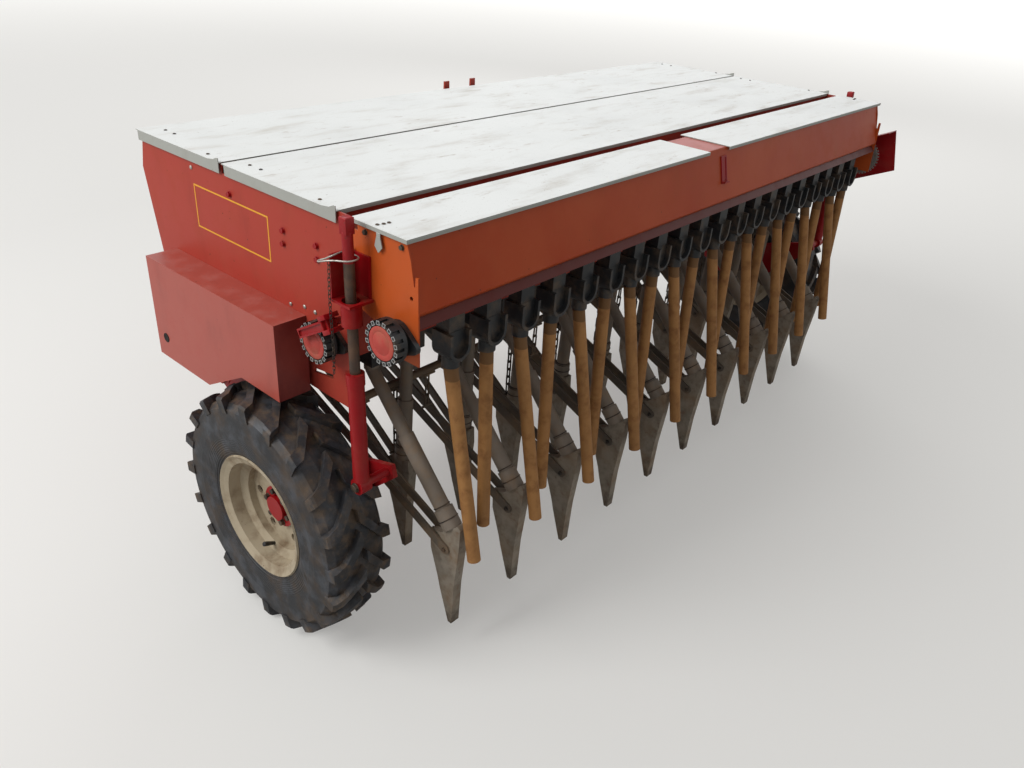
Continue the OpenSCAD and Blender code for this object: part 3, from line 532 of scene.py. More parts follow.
class DRILL_OT_paint(bpy.types.Operator):
    """Paints and dusts the solids, darkens the rear panel's lower lip, and makes the finishes of
    the small pieces
    """

    bl_idname = "drill.paint"
    bl_label = "Paint the drill"

    def execute(self, context):
        c = context.scene.drill_colours
        soil = tuple(c.soil)
        # Sprayed enamel, faded by the sun and dusty on what looks up
        red = painted_sheet("red_enamel_on_sheet", tuple(c.red), soil, 0.35, 0.42)
        dress(
            ["hopper_trough", "seed_box", "side_plates", "front_beam",
             "arm_mounts", "hopper_stands", "jack_tube"] + both("end_panel") + both("drawbar"),
            red,
        )
        # The covers have gone chalky: the red is pinker and its gloss is gone. The pale pink on
        # faces that look up is chalky dust, and partly a painted sky reflection
        # Its faces turned to the rear are painted darker, as painted shade
        faded = painted_sheet(
            "chalky_red_enamel", tuple(c.cover), srgb("c08f88"), 0.22, 0.34, 0.1, 0.4,
            rear_shade=srgb("5a0d10"),
        )
        dress(["drive_cover_left"], faded)
        # A later coat, more orange and still glossy, with painted shade on its faces turned to
        # the rear
        orange = painted_sheet(
            "orange_red_enamel_on_sheet", tuple(c.orange), soil, 0.2, 0.38, rear_shade=srgb("a03611")
        )
        dress(["rear_end_plates"], orange)
        # The same coat on the long panel, whose folded lower lip is painted darker
        # Its faces turned to the rear are painted darker, as painted shade
        lipped = painted_sheet(
            "orange_red_enamel_on_panel", tuple(c.orange), soil, 0.2, 0.38,
            rear_shade=srgb("a03611"), lip=corners("rear_panel")[0].z + 32 * MM,
        )
        dress(["rear_panel"], lipped)
        # Deep red enamel on turned and welded steel, with a wet look where it is clean
        bright = painted_sheet("bright_red_enamel_on_steel", tuple(c.bright), soil, 0.4, 0.3)
        dress(
            ["cylinder_brackets", "chain_guard_right"]
            + both("wheel_arm") + both("barrel") + both("hub"),
            bright,
        )
        # Coated sheet gone chalky, the palest part of the machine
        lid = weathered_lid("weathered_lid_sheet", tuple(c.lid), soil)
        dress(["lid_front", "lid_rear"] + both("lid_box"), lid)
        # Dull grey zinc with brown in its corners
        zinc = old_iron("dull_zinc_plate", srgb("8b8985"), soil, 0.35, 0.4, 0.8)
        dress(["lid_hinges", "seed_gear", "jack_leg", "hitch_eye"], zinc)
        # Old grey-brown iron under a film of dried soil
        worn = old_iron("worn_iron", srgb("5d554b"), soil, 0.6, 0.6, 0.25)
        dress(["drag_beam", "drag_arms", "lift_chains"], worn)
        cast = old_iron("dusty_cast_iron", srgb("8b8173"), soil, 0.5, 0.75, 0.1, 0.27)
        dress(["boots"], cast)
        tube = moulded("grey_rubber_tube", srgb("7b7064"), soil, 0.5, 0.6)
        dress(["seed_tubes"], tube)
        rod_steel("rusted_rod", tuple(c.bright), soil)
        # Cream enamel, brown with dust in the well
        rim = painted_sheet("cream_enamel_on_rim", tuple(c.rim), darker(soil, 0.6), 0.9, 0.5, 0.8)
        dress(both("rim"), rim)
        dress(both("tyre"), tyre_rubber("vulcanised_tyre_rubber", soil))
        # Tan rubber with darker streaks along it
        top = corners("tan_tubes")[1].z
        dress(["tan_tubes"], moulded("tan_rubber_tube", tuple(c.tube), srgb("5f3a20"), 0.6, 0.6,
                                     3.0, top - 34 * MM))
        # Injection-moulded black plastic; the grey borders on the knob cells are a painted
        # highlight, made below
        black = moulded("black_moulded_plastic", srgb("242628"), soil, 0.3, 0.4)
        dress(["rate_knobs", "box_chutes", "feed_units"], black)
        # Finishes of the small pieces
        old_iron("dark_bolt_steel", srgb("2f2a27"), soil, 0.4, 0.45, 0.5)
        old_iron("bright_zinc_rivet", srgb("b4b1aa"), soil, 0.2, 0.35, 0.8)
        moulded("red_moulded_face", srgb("ad3f36"), soil, 0.4, 0.5, 1.5)
        # Grey for the borders of the knob cells: a painted highlight on their edges
        moulded("grey_edge_painted_highlight", srgb("9c9d9c"), soil, 0.2, 0.55, 1.0)
        moulded("black_rubber_plug", srgb("100e0d"), soil, 0.05, 0.7)
        film_line("yellow_film", tuple(c.marking))
        return {"FINISHED"}


# Small pieces


def finish_named(name):
    """A finish that the paint step has made."""
    if name not in bpy.data.materials:
        raise RuntimeError(f"paint the drill first: there is no finish {name}")
    return bpy.data.materials[name]


def pick_faces(piece, test):
    """In edit mode, selects the faces whose middle and normal pass a test."""
    net = bmesh.from_edit_mesh(piece.data)
    bpy.ops.mesh.select_all(action="DESELECT")
    for face in net.faces:
        if test(face.calc_center_median(), face.normal):
            face.select_set(True)
    bmesh.update_edit_mesh(piece.data)


def only(piece):
    """Selects one piece alone and makes it active."""
    bpy.ops.object.select_all(action="DESELECT")
    piece.select_set(True)
    bpy.context.view_layer.objects.active = piece


def start(kind, **sizes):
    """Adds a primitive with nothing else selected, and opens it for editing."""
    bpy.ops.object.select_all(action="DESELECT")
    kind(**sizes)
    piece = bpy.context.active_object
    bpy.ops.object.transform_apply(location=True, rotation=True, scale=True)
    bpy.ops.object.mode_set(mode="EDIT")
    return piece


def block(size, middle=(0, 0, 0)):
    """Starts a box of a size about a middle, with all of it selected."""
    piece = start(bpy.ops.mesh.primitive_cube_add, size=1, location=(0, 0, 0))
    bpy.ops.transform.resize(value=size)
    bpy.ops.transform.translate(value=middle)
    return piece


def bar_of(edges, radius, length, z=0.0, x=0.0):
    """Starts an upright bar with so many edges, whose middle is at x and z."""
    return start(
        bpy.ops.mesh.primitive_cylinder_add,
        vertices=edges, radius=radius, depth=length, location=(x, 0, z),
    )


def pick_top(piece):
    """Selects the faces that look up."""
    pick_faces(piece, lambda at, normal: normal.z > 0.9)


def pull(z, x=0.0):
    """Extrudes what is selected."""
    bpy.ops.mesh.extrude_region_move(TRANSFORM_OT_translate={"value": (x, 0, z)})


def outward():
    """Turns all normals outward."""
    bpy.ops.mesh.select_all(action="SELECT")
    bpy.ops.mesh.normals_make_consistent(inside=False)


def close():
    """Ends editing."""
    bpy.ops.object.mode_set(mode="OBJECT")


def together(pieces, name):
    """Joins pieces into the first, whose place is then in its mesh."""
    bpy.ops.object.select_all(action="DESELECT")
    for piece in pieces:
        piece.select_set(True)
    bpy.context.view_layer.objects.active = pieces[0]
    if len(pieces) > 1:
        bpy.ops.object.join()
    bpy.ops.object.transform_apply(location=True, rotation=True, scale=True)
    pieces[0].name = name
    pieces[0].data.name = name
    return pieces[0]


def facing(place, way, spin=0.0):
    """Puts a model that stands on z = 0 at a place, with its top turned to way."""
    turn = Vector(way).normalized().to_track_quat("Z", "Y").to_matrix().to_4x4()
    return Matrix.Translation(place) @ turn @ Matrix.Rotation(spin, 4, "Z")


def repeat(model, places, name):
    """Copies a model to its places, each copy with its own mesh, and joins them."""
    copies = []
    for place in places:
        copy = model.copy()
        copy.data = model.data.copy()
        copy.data.transform(place)
        bpy.context.collection.objects.link(copy)
        copies.append(copy)
    return together(copies, name)


def settle(piece, finish, body, angle=35):
    """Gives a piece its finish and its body."""
    piece.data.materials.clear()
    piece.data.materials.append(finish_named(finish))
    only(piece)
    bpy.ops.object.shade_smooth_by_angle(angle=math.radians(angle))
    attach(piece, body)


def drop(*models):
    """Removes the models that copies were taken from."""
    for model in models:
        bpy.data.objects.remove(model, do_unlink=True)


def hex_bolt(width, height):
    """A chamfered hexagon head on a round washer."""
    washer = bar_of(20, width * 0.66, 2 * MM, 0.5 * MM)
    pick_top(washer)
    bpy.ops.mesh.bevel(offset=0.5 * MM, segments=1, affect="EDGES")
    close()
    head = bar_of(6, width / 3**0.5, height, 1.5 * MM + height / 2)
    pick_top(head)
    bpy.ops.mesh.inset(thickness=width * 0.07, depth=width * 0.05)
    bpy.ops.mesh.inset(thickness=width * 0.1, depth=-0.2 * MM)
    close()
    return together([washer, head], "hex_bolt_model")


def round_rivet(radius, height):
    """A domed rivet head."""
    rivet = bar_of(20, radius, height * 0.5, height * 0.2)
    pick_top(rivet)
    bpy.ops.mesh.inset(thickness=radius * 0.25, depth=height * 0.3)
    bpy.ops.mesh.inset(thickness=radius * 0.3, depth=height * 0.15)
    close()
    return together([rivet], "rivet_model")


def pan_screw(radius):
    """A low screw head with a sunk socket."""
    screw = bar_of(16, radius, 2 * MM, 0.6 * MM)
    pick_top(screw)
    bpy.ops.mesh.inset(thickness=radius * 0.3, depth=0.5 * MM)
    bpy.ops.mesh.inset(thickness=radius * 0.25, depth=-0.8 * MM)
    close()
    return together([screw], "screw_model")


def at_y(y_mm):
    """A place along Y, counted from the wheel axle."""
    return AXLE_Y + y_mm * MM


def on_panel(y_mm, z_mm, side):
    """A place on an end panel's outer face."""
    return Vector((side * PANEL_X, at_y(y_mm), z_mm * MM))


def on_wheel(side, out, radius, turn):
    """A place on a wheel: out from its middle plane, at a radius and an angle."""
    return Vector((side * (WHEEL_X + out), AXLE_Y + radius * math.cos(turn),
                   AXLE_Z + radius * math.sin(turn)))


def on_boot(row, y_mm):
    """A place along Y on the boot of a row: every second boot is a front one."""
    return at_y(y_mm + (0 if row % 2 == 0 else STAGGER))


class DRILL_OT_lid_edges(bpy.types.Operator):
    """Gives the rear lid and the small lids their narrow folded edges"""

    bl_idname = "drill.lid_edges"
    bl_label = "Fold the narrow lid edges"

    def execute(self, context):
        edge = LID_UNDER - context.scene.drill_sizes.lid_edge
        for node in ("lid_rear", "lid_box_left", "lid_box_right"):
            low, high = corners(node)
            small = node != "lid_rear"
            outer = LEFT if node == "lid_box_left" else RIGHT
            ends = {
                "lid_rear": (8 * MM - PANEL_X, PANEL_X - 8 * MM),
                "lid_box_left": (low.x + 2 * MM, high.x),
                "lid_box_right": (low.x, high.x - 2 * MM),
            }[node]
            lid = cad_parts[node].copy()
            lid.data = lid.data.copy()
            lid.parent = None
            context.collection.objects.link(lid)
            only(lid)
            bpy.ops.object.mode_set(mode="EDIT")
            bpy.ops.mesh.select_all(action="SELECT")
            bpy.ops.mesh.remove_doubles(threshold=0.005 * MM)

            def folded(at, normal):
                # The deep strips: under the rear edge, and at the end of a small lid
                in_rear = at.y < low.y + 2.8 * MM and at.z < LID_UNDER
                rear = in_rear and abs(at.x) < PANEL_X + 5.9 * MM
                return rear or (small and outer * at.x > PANEL_X + 5.8 * MM)

            pick_faces(lid, folded)
            bpy.ops.mesh.delete(type="FACE")
            close()
            depth = (low.y, low.y + 2.4 * MM)
            parts = [lid, self.strip(ends, depth, (edge, LID_UNDER + 0.3 * MM))]
            if small:
                rim = sorted((outer * (PANEL_X + 5.7 * MM), outer * (PANEL_X + 8 * MM)))
                hook = at_y(-355)
                across = (hook - 6 * MM, hook + 6 * MM)
                parts += [
                    self.strip(rim, (low.y, at_y(-276)), (edge, LID_SHEET)),
                    self.strip(rim, across, (LID_UNDER - 16.5 * MM, edge)),
                    self.barb(rim, hook, LID_UNDER - 16.4 * MM),
                ]
            made = together(parts, f"{node}_folded")
            settle(made, "weathered_lid_sheet", node)
            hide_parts(node)
        return {"FINISHED"}

    def strip(self, x, y, z):
        """A narrow folded strip with eased edges."""
        size = [high - low for low, high in (x, y, z)]
        strip = block(size, [sum(span) / 2 for span in (x, y, z)])
        bpy.ops.mesh.bevel(offset=0.4 * MM, segments=1, affect="EDGES")
        close()
        return strip

    def barb(self, x, y, top):
        """The pointed end of a small lid's strap."""
        barb = block((x[1] - x[0], 0.012, 0.021), (sum(x) / 2, y, top - 10.5 * MM))
        pick_faces(barb, lambda at, normal: normal.z < -0.9)
        bpy.ops.transform.resize(value=(1, 2, 1))
        pull(-0.013)
        bpy.ops.transform.resize(value=(1, 0.05, 1))
        close()
        return barb


class DRILL_OT_fasteners(bpy.types.Operator):
    """Adds bolts, rivets and screws to the panels, lids and arms"""

    bl_idname = "drill.fasteners"
    bl_label = "Add fasteners"

    def execute(self, context):
        width = context.scene.drill_sizes.bolt_width
        bolt = hex_bolt(width * 0.8, 5 * MM)
        small = hex_bolt(width * 0.62, 4 * MM)
        rivet = round_rivet(5.5 * MM, 4 * MM)
        screw = pan_screw(4.5 * MM)
        sides = (LEFT, RIGHT)
        panel = [
            facing(on_panel(y, z, s), (s, 0, 0), y) for s in sides for y, z in PANEL_BOLTS
        ]
        settle(repeat(bolt, panel, "panel_bolts"), "bright_red_enamel_on_steel", "frame")
        rivets = [facing(on_panel(y, z, s), (s, 0, 0)) for s in sides for y, z in PANEL_RIVETS]
        settle(repeat(rivet, rivets, "panel_rivets"), "bright_zinc_rivet", "frame")
        dark = [
            facing(on_panel(y, z, s), (s, 0, 0), y) for s in sides for y, z in END_PLATE_BOLTS
        ]
        settle(repeat(small, dark, "end_plate_bolts"), "dark_bolt_steel", "frame")

        for body, spots, lid_sides in (
            ("lid_front", LID_FRONT_SCREWS, sides),
            ("lid_rear", LID_REAR_SCREWS, sides),
            ("lid_box_left", LID_BOX_SCREWS, (LEFT,)),
            ("lid_box_right", LID_BOX_SCREWS, (RIGHT,)),
        ):
            places = [
                Matrix.Translation((s * x, at_y(y), LID_SHEET))
                for s in lid_sides
                for x, y in spots
            ]
            settle(repeat(screw, places, f"{body}_screws"), "dark_bolt_steel", body)

        # One bolt on each side of a boot holds the ends of its two arms
        boots = []
        for i, x in enumerate(ROW_X):
            for s in sides:
                place = (x + s * 21.3 * MM, on_boot(i, BOOT_BOLT[0]), BOOT_BOLT[1] * MM)
                boots.append(facing(place, (s, 0, 0), i))
        settle(repeat(small, boots, "boot_bolts"), "dark_bolt_steel", "frame")
        drop(bolt, small, rivet, screw)
        return {"FINISHED"}


class DRILL_OT_knob_faces(bpy.types.Operator):
    """Adds the red faces of the two rate knobs, and grey borders on the edges of their rim cells
    as painted highlights
    """

    bl_idname = "drill.knob_faces"
    bl_label = "Add knob faces"

    def execute(self, context):
        centres = [Vector((-KNOB_FACE, at_y(y), z * MM)) for y, z in KNOBS]
        face = bar_of(48, 39.5 * MM, 1.6 * MM, -0.6 * MM)
        pick_top(face)
        for inset, depth in ((2, 0.8), (9, 0), (1.2, -0.7), (1.2, 0.7), (12, 0), (1, 0.6)):
            bpy.ops.mesh.inset(thickness=inset * MM, depth=depth * MM)
        close()
        together([face], "knob_face_model")
        faces = repeat(face, [facing(c, (-1, 0, 0)) for c in centres], "knob_faces")
        settle(faces, "red_moulded_face", "frame")

        # Each cell of the rim gets a grey border round its dark middle: a painted highlight on
        # the cell's edges
        middle = Vector((47 * MM, 0, 0.1 * MM))
        border = start(bpy.ops.mesh.primitive_plane_add, size=10 * MM, location=middle)
        bpy.ops.mesh.inset(thickness=1.6 * MM)
        pick_faces(border, lambda at, normal: (at - middle).length < 0.1 * MM)
        bpy.ops.mesh.delete(type="FACE")
        bpy.ops.mesh.select_all(action="SELECT")
        pull(0.5 * MM)
        outward()
        close()
        together([border], "cell_border_model")
        places = [
            facing(centre, (-1, 0, 0), math.radians(22.5 * i + 11.25))
            for centre in centres
            for i in range(16)
        ]
        settle(repeat(border, places, "knob_edges"), "grey_edge_painted_highlight", "frame")
        drop(face, border)
        return {"FINISHED"}


class DRILL_OT_blank_frame(bpy.types.Operator):
    """Adds the blank yellow frame on each end panel"""

    bl_idname = "drill.blank_frame"
    bl_label = "Add the blank frame"

    def execute(self, context):
        line = context.scene.drill_sizes.frame_line
        outline = start(bpy.ops.mesh.primitive_plane_add, size=1, location=(0, 0, 0))
        bpy.ops.transform.resize(value=(0.336, 0.118, 1))
        bpy.ops.mesh.inset(thickness=line)
        pick_faces(outline, lambda at, normal: at.length < 1 * MM)
        bpy.ops.mesh.delete(type="FACE")
        bpy.ops.mesh.select_all(action="SELECT")
        pull(0.3 * MM)
        outward()
        close()
        together([outline], "outline_model")
        # On a panel the outline's long side lies along Y and its short side along Z
        places = [
            Matrix.Translation(on_panel(*FRAME_MIDDLE, side))
            @ Matrix(((0, 0, side, 0), (side, 0, 0, 0), (0, 1, 0, 0), (0, 0, 0, 1)))
            for side in (LEFT, RIGHT)
        ]
        settle(repeat(outline, places, "blank_frames"), "yellow_film", "frame")
        drop(outline)
        return {"FINISHED"}


class DRILL_OT_wheel_fittings(bpy.types.Operator):
    """Adds wheel nuts, valve stems and the nuts on the lift cylinders' foot pins"""

    bl_idname = "drill.wheel_fittings"
    bl_label = "Add wheel fittings"

    def execute(self, context):
        nut = hex_bolt(15 * MM, 9 * MM)
        stem = bar_of(16, 9 * MM, 12 * MM)
        pick_top(stem)
        # A cone at the foot, a plain neck, then a wider cap with a chamfer
        bpy.ops.mesh.inset(thickness=4 * MM, depth=6 * MM)
        pull(26 * MM)
        bpy.ops.transform.resize(value=(1.4, 1.4, 1))
        pull(11 * MM)
        bpy.ops.mesh.inset(thickness=1.8 * MM, depth=1.5 * MM)
        close()
        together([stem], "stem_model")
        washer = hex_bolt(20 * MM, 5 * MM)
        for name, side in SIDES:
            nuts = []
            for turn in [math.radians(60 * i + 12) for i in range(6)]:
                place = on_wheel(side, 16 * MM, NUT_RADIUS, turn)
                nuts.append(facing(place, (side, 0, 0), turn))
            settle(repeat(nut, nuts, f"wheel_nuts_{name}"), "dark_bolt_steel",
                   f"wheel_{name}")
            turn = math.radians(-83)
            place = on_wheel(side, 22 * MM, STEM_RADIUS, turn)
            way = (side, -0.5 * math.cos(turn), -0.5 * math.sin(turn))
            settle(repeat(stem, [facing(place, way)], f"valve_stem_{name}"),
                   "black_moulded_plastic", f"wheel_{name}")
            foot = (side * (ROD_X + 20 * MM), at_y(FOOT_PIN[0]), FOOT_PIN[1] * MM)
            settle(repeat(washer, [facing(foot, (side, 0, 0))], f"foot_pin_nut_{name}"),
                   "dark_bolt_steel", f"arm_{name}")
        drop(nut, stem, washer)
        return {"FINISHED"}


class DRILL_OT_collar_wires(bpy.types.Operator):
    """Winds the black wires round the seed tubes above and on their collars"""

    bl_idname = "drill.collar_wires"
    bl_label = "Add collar wires"

    def execute(self, context):
        models = []
        for radius in (22.6, 27.4):
            wire = start(
                bpy.ops.mesh.primitive_circle_add,
                vertices=6, radius=1.7 * MM, fill_type="NOTHING",
                location=(radius * MM, 0, 0), rotation=(math.radians(90), 0, 0),
            )
            bpy.ops.mesh.spin(steps=24, angle=math.tau, center=(0, 0, 0), axis=(0, 0, 1))
            bpy.ops.mesh.select_all(action="SELECT")
            bpy.ops.mesh.remove_doubles(threshold=0.02 * MM)
            outward()
            # The two ends are twisted into a short tail
            pick_faces(wire, lambda at, normal: at.x > (radius + 1) * MM and abs(at.y) < 3 * MM)
            pull(0, 6 * MM)
            close()
            models.append(together([wire], "wire_model"))
        spots = ([], [])
        for i, x in enumerate(ROW_X):
            low = Vector((x, on_boot(i, TUBE_FOOT[0]), TUBE_FOOT[1] * MM))
            top = Vector((x, at_y(-140), corners("seed_tubes")[1].z - 25 * MM))
            way = top - low
            for n, share in ((0, 0.135), (1, 0.055)):
                spots[n].append(facing(low + way * share, way, math.radians(150 + 25 * (i % 3))))
        for n, name in enumerate(("tube_wires", "collar_wires")):
            settle(repeat(models[n], spots[n], name), "dark_bolt_steel", "frame")
        drop(*models)
        return {"FINISHED"}


class DRILL_OT_lever(bpy.types.Operator):
    """Adds the red shut-off lever above the front knob"""

    bl_idname = "drill.lever"
    bl_label = "Add the shut-off lever"

    def execute(self, context):
        bar = block((0.112, 0.024, 0.016))
        pick_top(bar)
        bpy.ops.mesh.inset(thickness=5 * MM)
        pull(-5 * MM)
        pick_faces(bar, lambda at, normal: abs(normal.x) > 0.9 and abs(at.x) > 0.05)
        bpy.ops.mesh.bevel(offset=2 * MM, segments=2, affect="EDGES")
        close()
        cheeks = []
        for shift in (-17, 17):
            cheek = block((0.030, 0.012, 0.040), (-0.064, shift * MM, -0.010))
            bpy.ops.mesh.bevel(offset=1.5 * MM, segments=2, affect="EDGES")
            close()
            cheeks.append(cheek)
        web = block((0.012, 0.030, 0.026), (-0.058, 0, -0.014))
        bpy.ops.mesh.bevel(offset=1 * MM, segments=1, affect="EDGES")
        close()
        shaft = bar_of(24, 9 * MM, 44 * MM, -0.043, -0.064)
        pick_faces(shaft, lambda at, normal: normal.z < -0.9)
        bpy.ops.mesh.inset(thickness=-6 * MM, depth=0)
        pull(-2 * MM)
        close()
        model = together([bar, *cheeks, web, shaft], "lever_model")
        place = Vector((-(PANEL_X + 66 * MM), at_y(LEVER[0]), LEVER[1] * MM))
        along = Vector((0, 0.102, -0.060)).normalized()
        out = Vector((-1, 0, 0))
        turn = Matrix((along, out.cross(along), out)).transposed().to_4x4()
        lever = repeat(model, [Matrix.Translation(place) @ turn], "shutoff_lever")
        settle(lever, "bright_red_enamel_on_steel", "frame")
        drop(model)
        return {"FINISHED"}


class DRILL_OT_rods(bpy.types.Operator):
    """Turns the lift rods with their small square heads, in place of the plain solids"""

    bl_idname = "drill.rods"
    bl_label = "Turn the lift rods"

    def execute(self, context):
        foot = Vector((0, *FOOT_PIN)) * MM
        top = Vector((0, *ROD_TOP)) * MM
        bar = bar_of(32, 12.5 * MM, 586 * MM, 353 * MM)
        pick_top(bar)
        bpy.ops.mesh.inset(thickness=1.5 * MM, depth=1.5 * MM)
        close()
        head = block((0.0235, 0.0235, 0.036), (0, 0, 0.660))
        pick_top(head)
        bpy.ops.mesh.inset(thickness=2 * MM, depth=1.5 * MM)
        bpy.ops.mesh.inset(thickness=4 * MM, depth=-1.5 * MM)
        pick_faces(head, lambda at, normal: abs(normal.z) < 0.2)
        bpy.ops.mesh.bevel(offset=1 * MM, segments=2, affect="EDGES")
        close()
        model = together([bar, head], "rod_model")
        for name, side in SIDES:
            place = Vector((side * ROD_X, AXLE_Y, 0)) + foot
            rod = repeat(model, [facing(place, top - foot)], f"lift_rod_{name}")
            settle(rod, "rusted_rod", f"rod_{name}")
            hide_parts(f"rod_{name}")
        drop(model)
        return {"FINISHED"}


class DRILL_OT_pin_clips(bpy.types.Operator):
    """Bends the wire clips round the lift rods and hangs their chains"""

    bl_idname = "drill.pin_clips"
    bl_label = "Add pin clips"

    # Bends of the left clip, seen from above: x out from the middle, y from the axle, z
    bends = (
        (1355, -284, 1186), (1351.5, -300, 1186), (1358, -317, 1187), (1375, -324, 1188),
        (1392, -317, 1187), (1399, -302, 1186), (1404, -288, 1184), (1409, -274, 1181),
        (1416, -261, 1177), (1419, -252, 1174), (1416, -245, 1173), (1409, -245, 1174),
        (1405, -253, 1177), (1405, -263, 1182), (1404, -272, 1188), (1399, -279, 1192),
        (1386, -279, 1194), (1370, -277, 1194), (1360, -280, 1194),
    )

    def execute(self, context):
        wire = context.scene.drill_sizes.wire
        link = start(
            bpy.ops.mesh.primitive_torus_add,
            major_radius=3.2 * MM, minor_radius=0.9 * MM, major_segments=12, minor_segments=6,
            location=(0, 0, 0), rotation=(0, math.radians(90), 0),
        )
        # Half the ring is drawn down into a long link
        bpy.ops.mesh.select_all(action="DESELECT")
        net = bmesh.from_edit_mesh(link.data)
        for corner in net.verts:
            corner.select_set(corner.co.z < -0.01 * MM)
        net.select_flush(True)
        bmesh.update_edit_mesh(link.data)
        bpy.ops.transform.translate(value=(0, 0, -6 * MM))
        close()
        together([link], "link_model")
        for name, side in SIDES:
            line = bpy.data.curves.new(f"pin_clip_{name}", "CURVE")
            line.dimensions = "3D"
            line.bevel_depth = wire / 2
            line.bevel_resolution = 3
            line.use_fill_caps = True
            spline = line.splines.new("NURBS")
            spline.points.add(len(self.bends) - 1)
            for point, (x, y, z) in zip(spline.points, self.bends):
                point.co = (side * x * MM, at_y(y), z * MM, 1)
            spline.use_endpoint_u = True
            spline.order_u = 4
            spline.resolution_u = 5
            clip = bpy.data.objects.new(f"pin_clip_{name}", line)
            context.collection.objects.link(clip)
            only(clip)
            bpy.ops.object.convert(target="MESH")
            settle(context.active_object, "bright_zinc_rivet", "frame", 60)
            places = []
            for i in range(LINKS):
                y = CHAIN_TOP[0] + 2.5 * math.sin(i * 0.22)
                z = CHAIN_TOP[1] - LINK_PITCH * i
                place = (side * CHAIN_X * MM, at_y(y), z * MM)
                turn = Matrix.Rotation(math.radians(90 * (i % 2) + 20), 4, "Z")
                places.append(Matrix.Translation(place) @ turn)
            settle(repeat(link, places, f"pin_chain_{name}"), "dark_bolt_steel", "frame",
                   60)
        drop(link)
        return {"FINISHED"}


class DRILL_OT_rear_hook(bpy.types.Operator):
    """Adds the red catch on the rear panel and the black plug in the drive cover"""

    bl_idname = "drill.rear_hook"
    bl_label = "Add the rear catch and the plug"

    def execute(self, context):
        catch = block((0.034, 0.084, 0.004), (0, 0, 0.002))
        pick_top(catch)
        bpy.ops.mesh.inset(thickness=5 * MM)
        pull(-2 * MM)
        pick_faces(catch, lambda at, normal: normal.z > 0.9 and at.y < -0.038)
        pull(9 * MM)
        pick_faces(catch, lambda at, normal: abs(normal.x) > 0.9)
        bpy.ops.mesh.bevel(offset=0.6 * MM, segments=1, affect="EDGES")
        close()
        together([catch], "catch_model")
        # The panel leans back: its outer face goes down and to the rear
        down = Vector((0, -40, -157)).normalized()
        out = Vector((0, -157, 40)).normalized()
        top = Vector((-0.010, at_y(-432), LID_UNDER))
        turn = Matrix(((-down).cross(out), -down, out)).transposed().to_4x4()
        place = Matrix.Translation(top + down * 66 * MM) @ turn
        settle(repeat(catch, [place], "rear_catch"), "bright_red_enamel_on_steel", "frame")

        plug = bar_of(32, 14 * MM, 1.6 * MM, 0.6 * MM)
        pick_top(plug)
        bpy.ops.mesh.inset(thickness=2.2 * MM, depth=0.6 * MM)
        bpy.ops.mesh.inset(thickness=2 * MM, depth=-1.4 * MM)
        close()
        together([plug], "plug_model")
        spot = Vector((-COVER_X, at_y(COVER_PLUG[0]), COVER_PLUG[1] * MM))
        settle(repeat(plug, [facing(spot, (-1, 0, 0))], "cover_plug"), "black_rubber_plug",
               "frame")
        drop(catch, plug)
        return {"FINISHED"}


# Studio


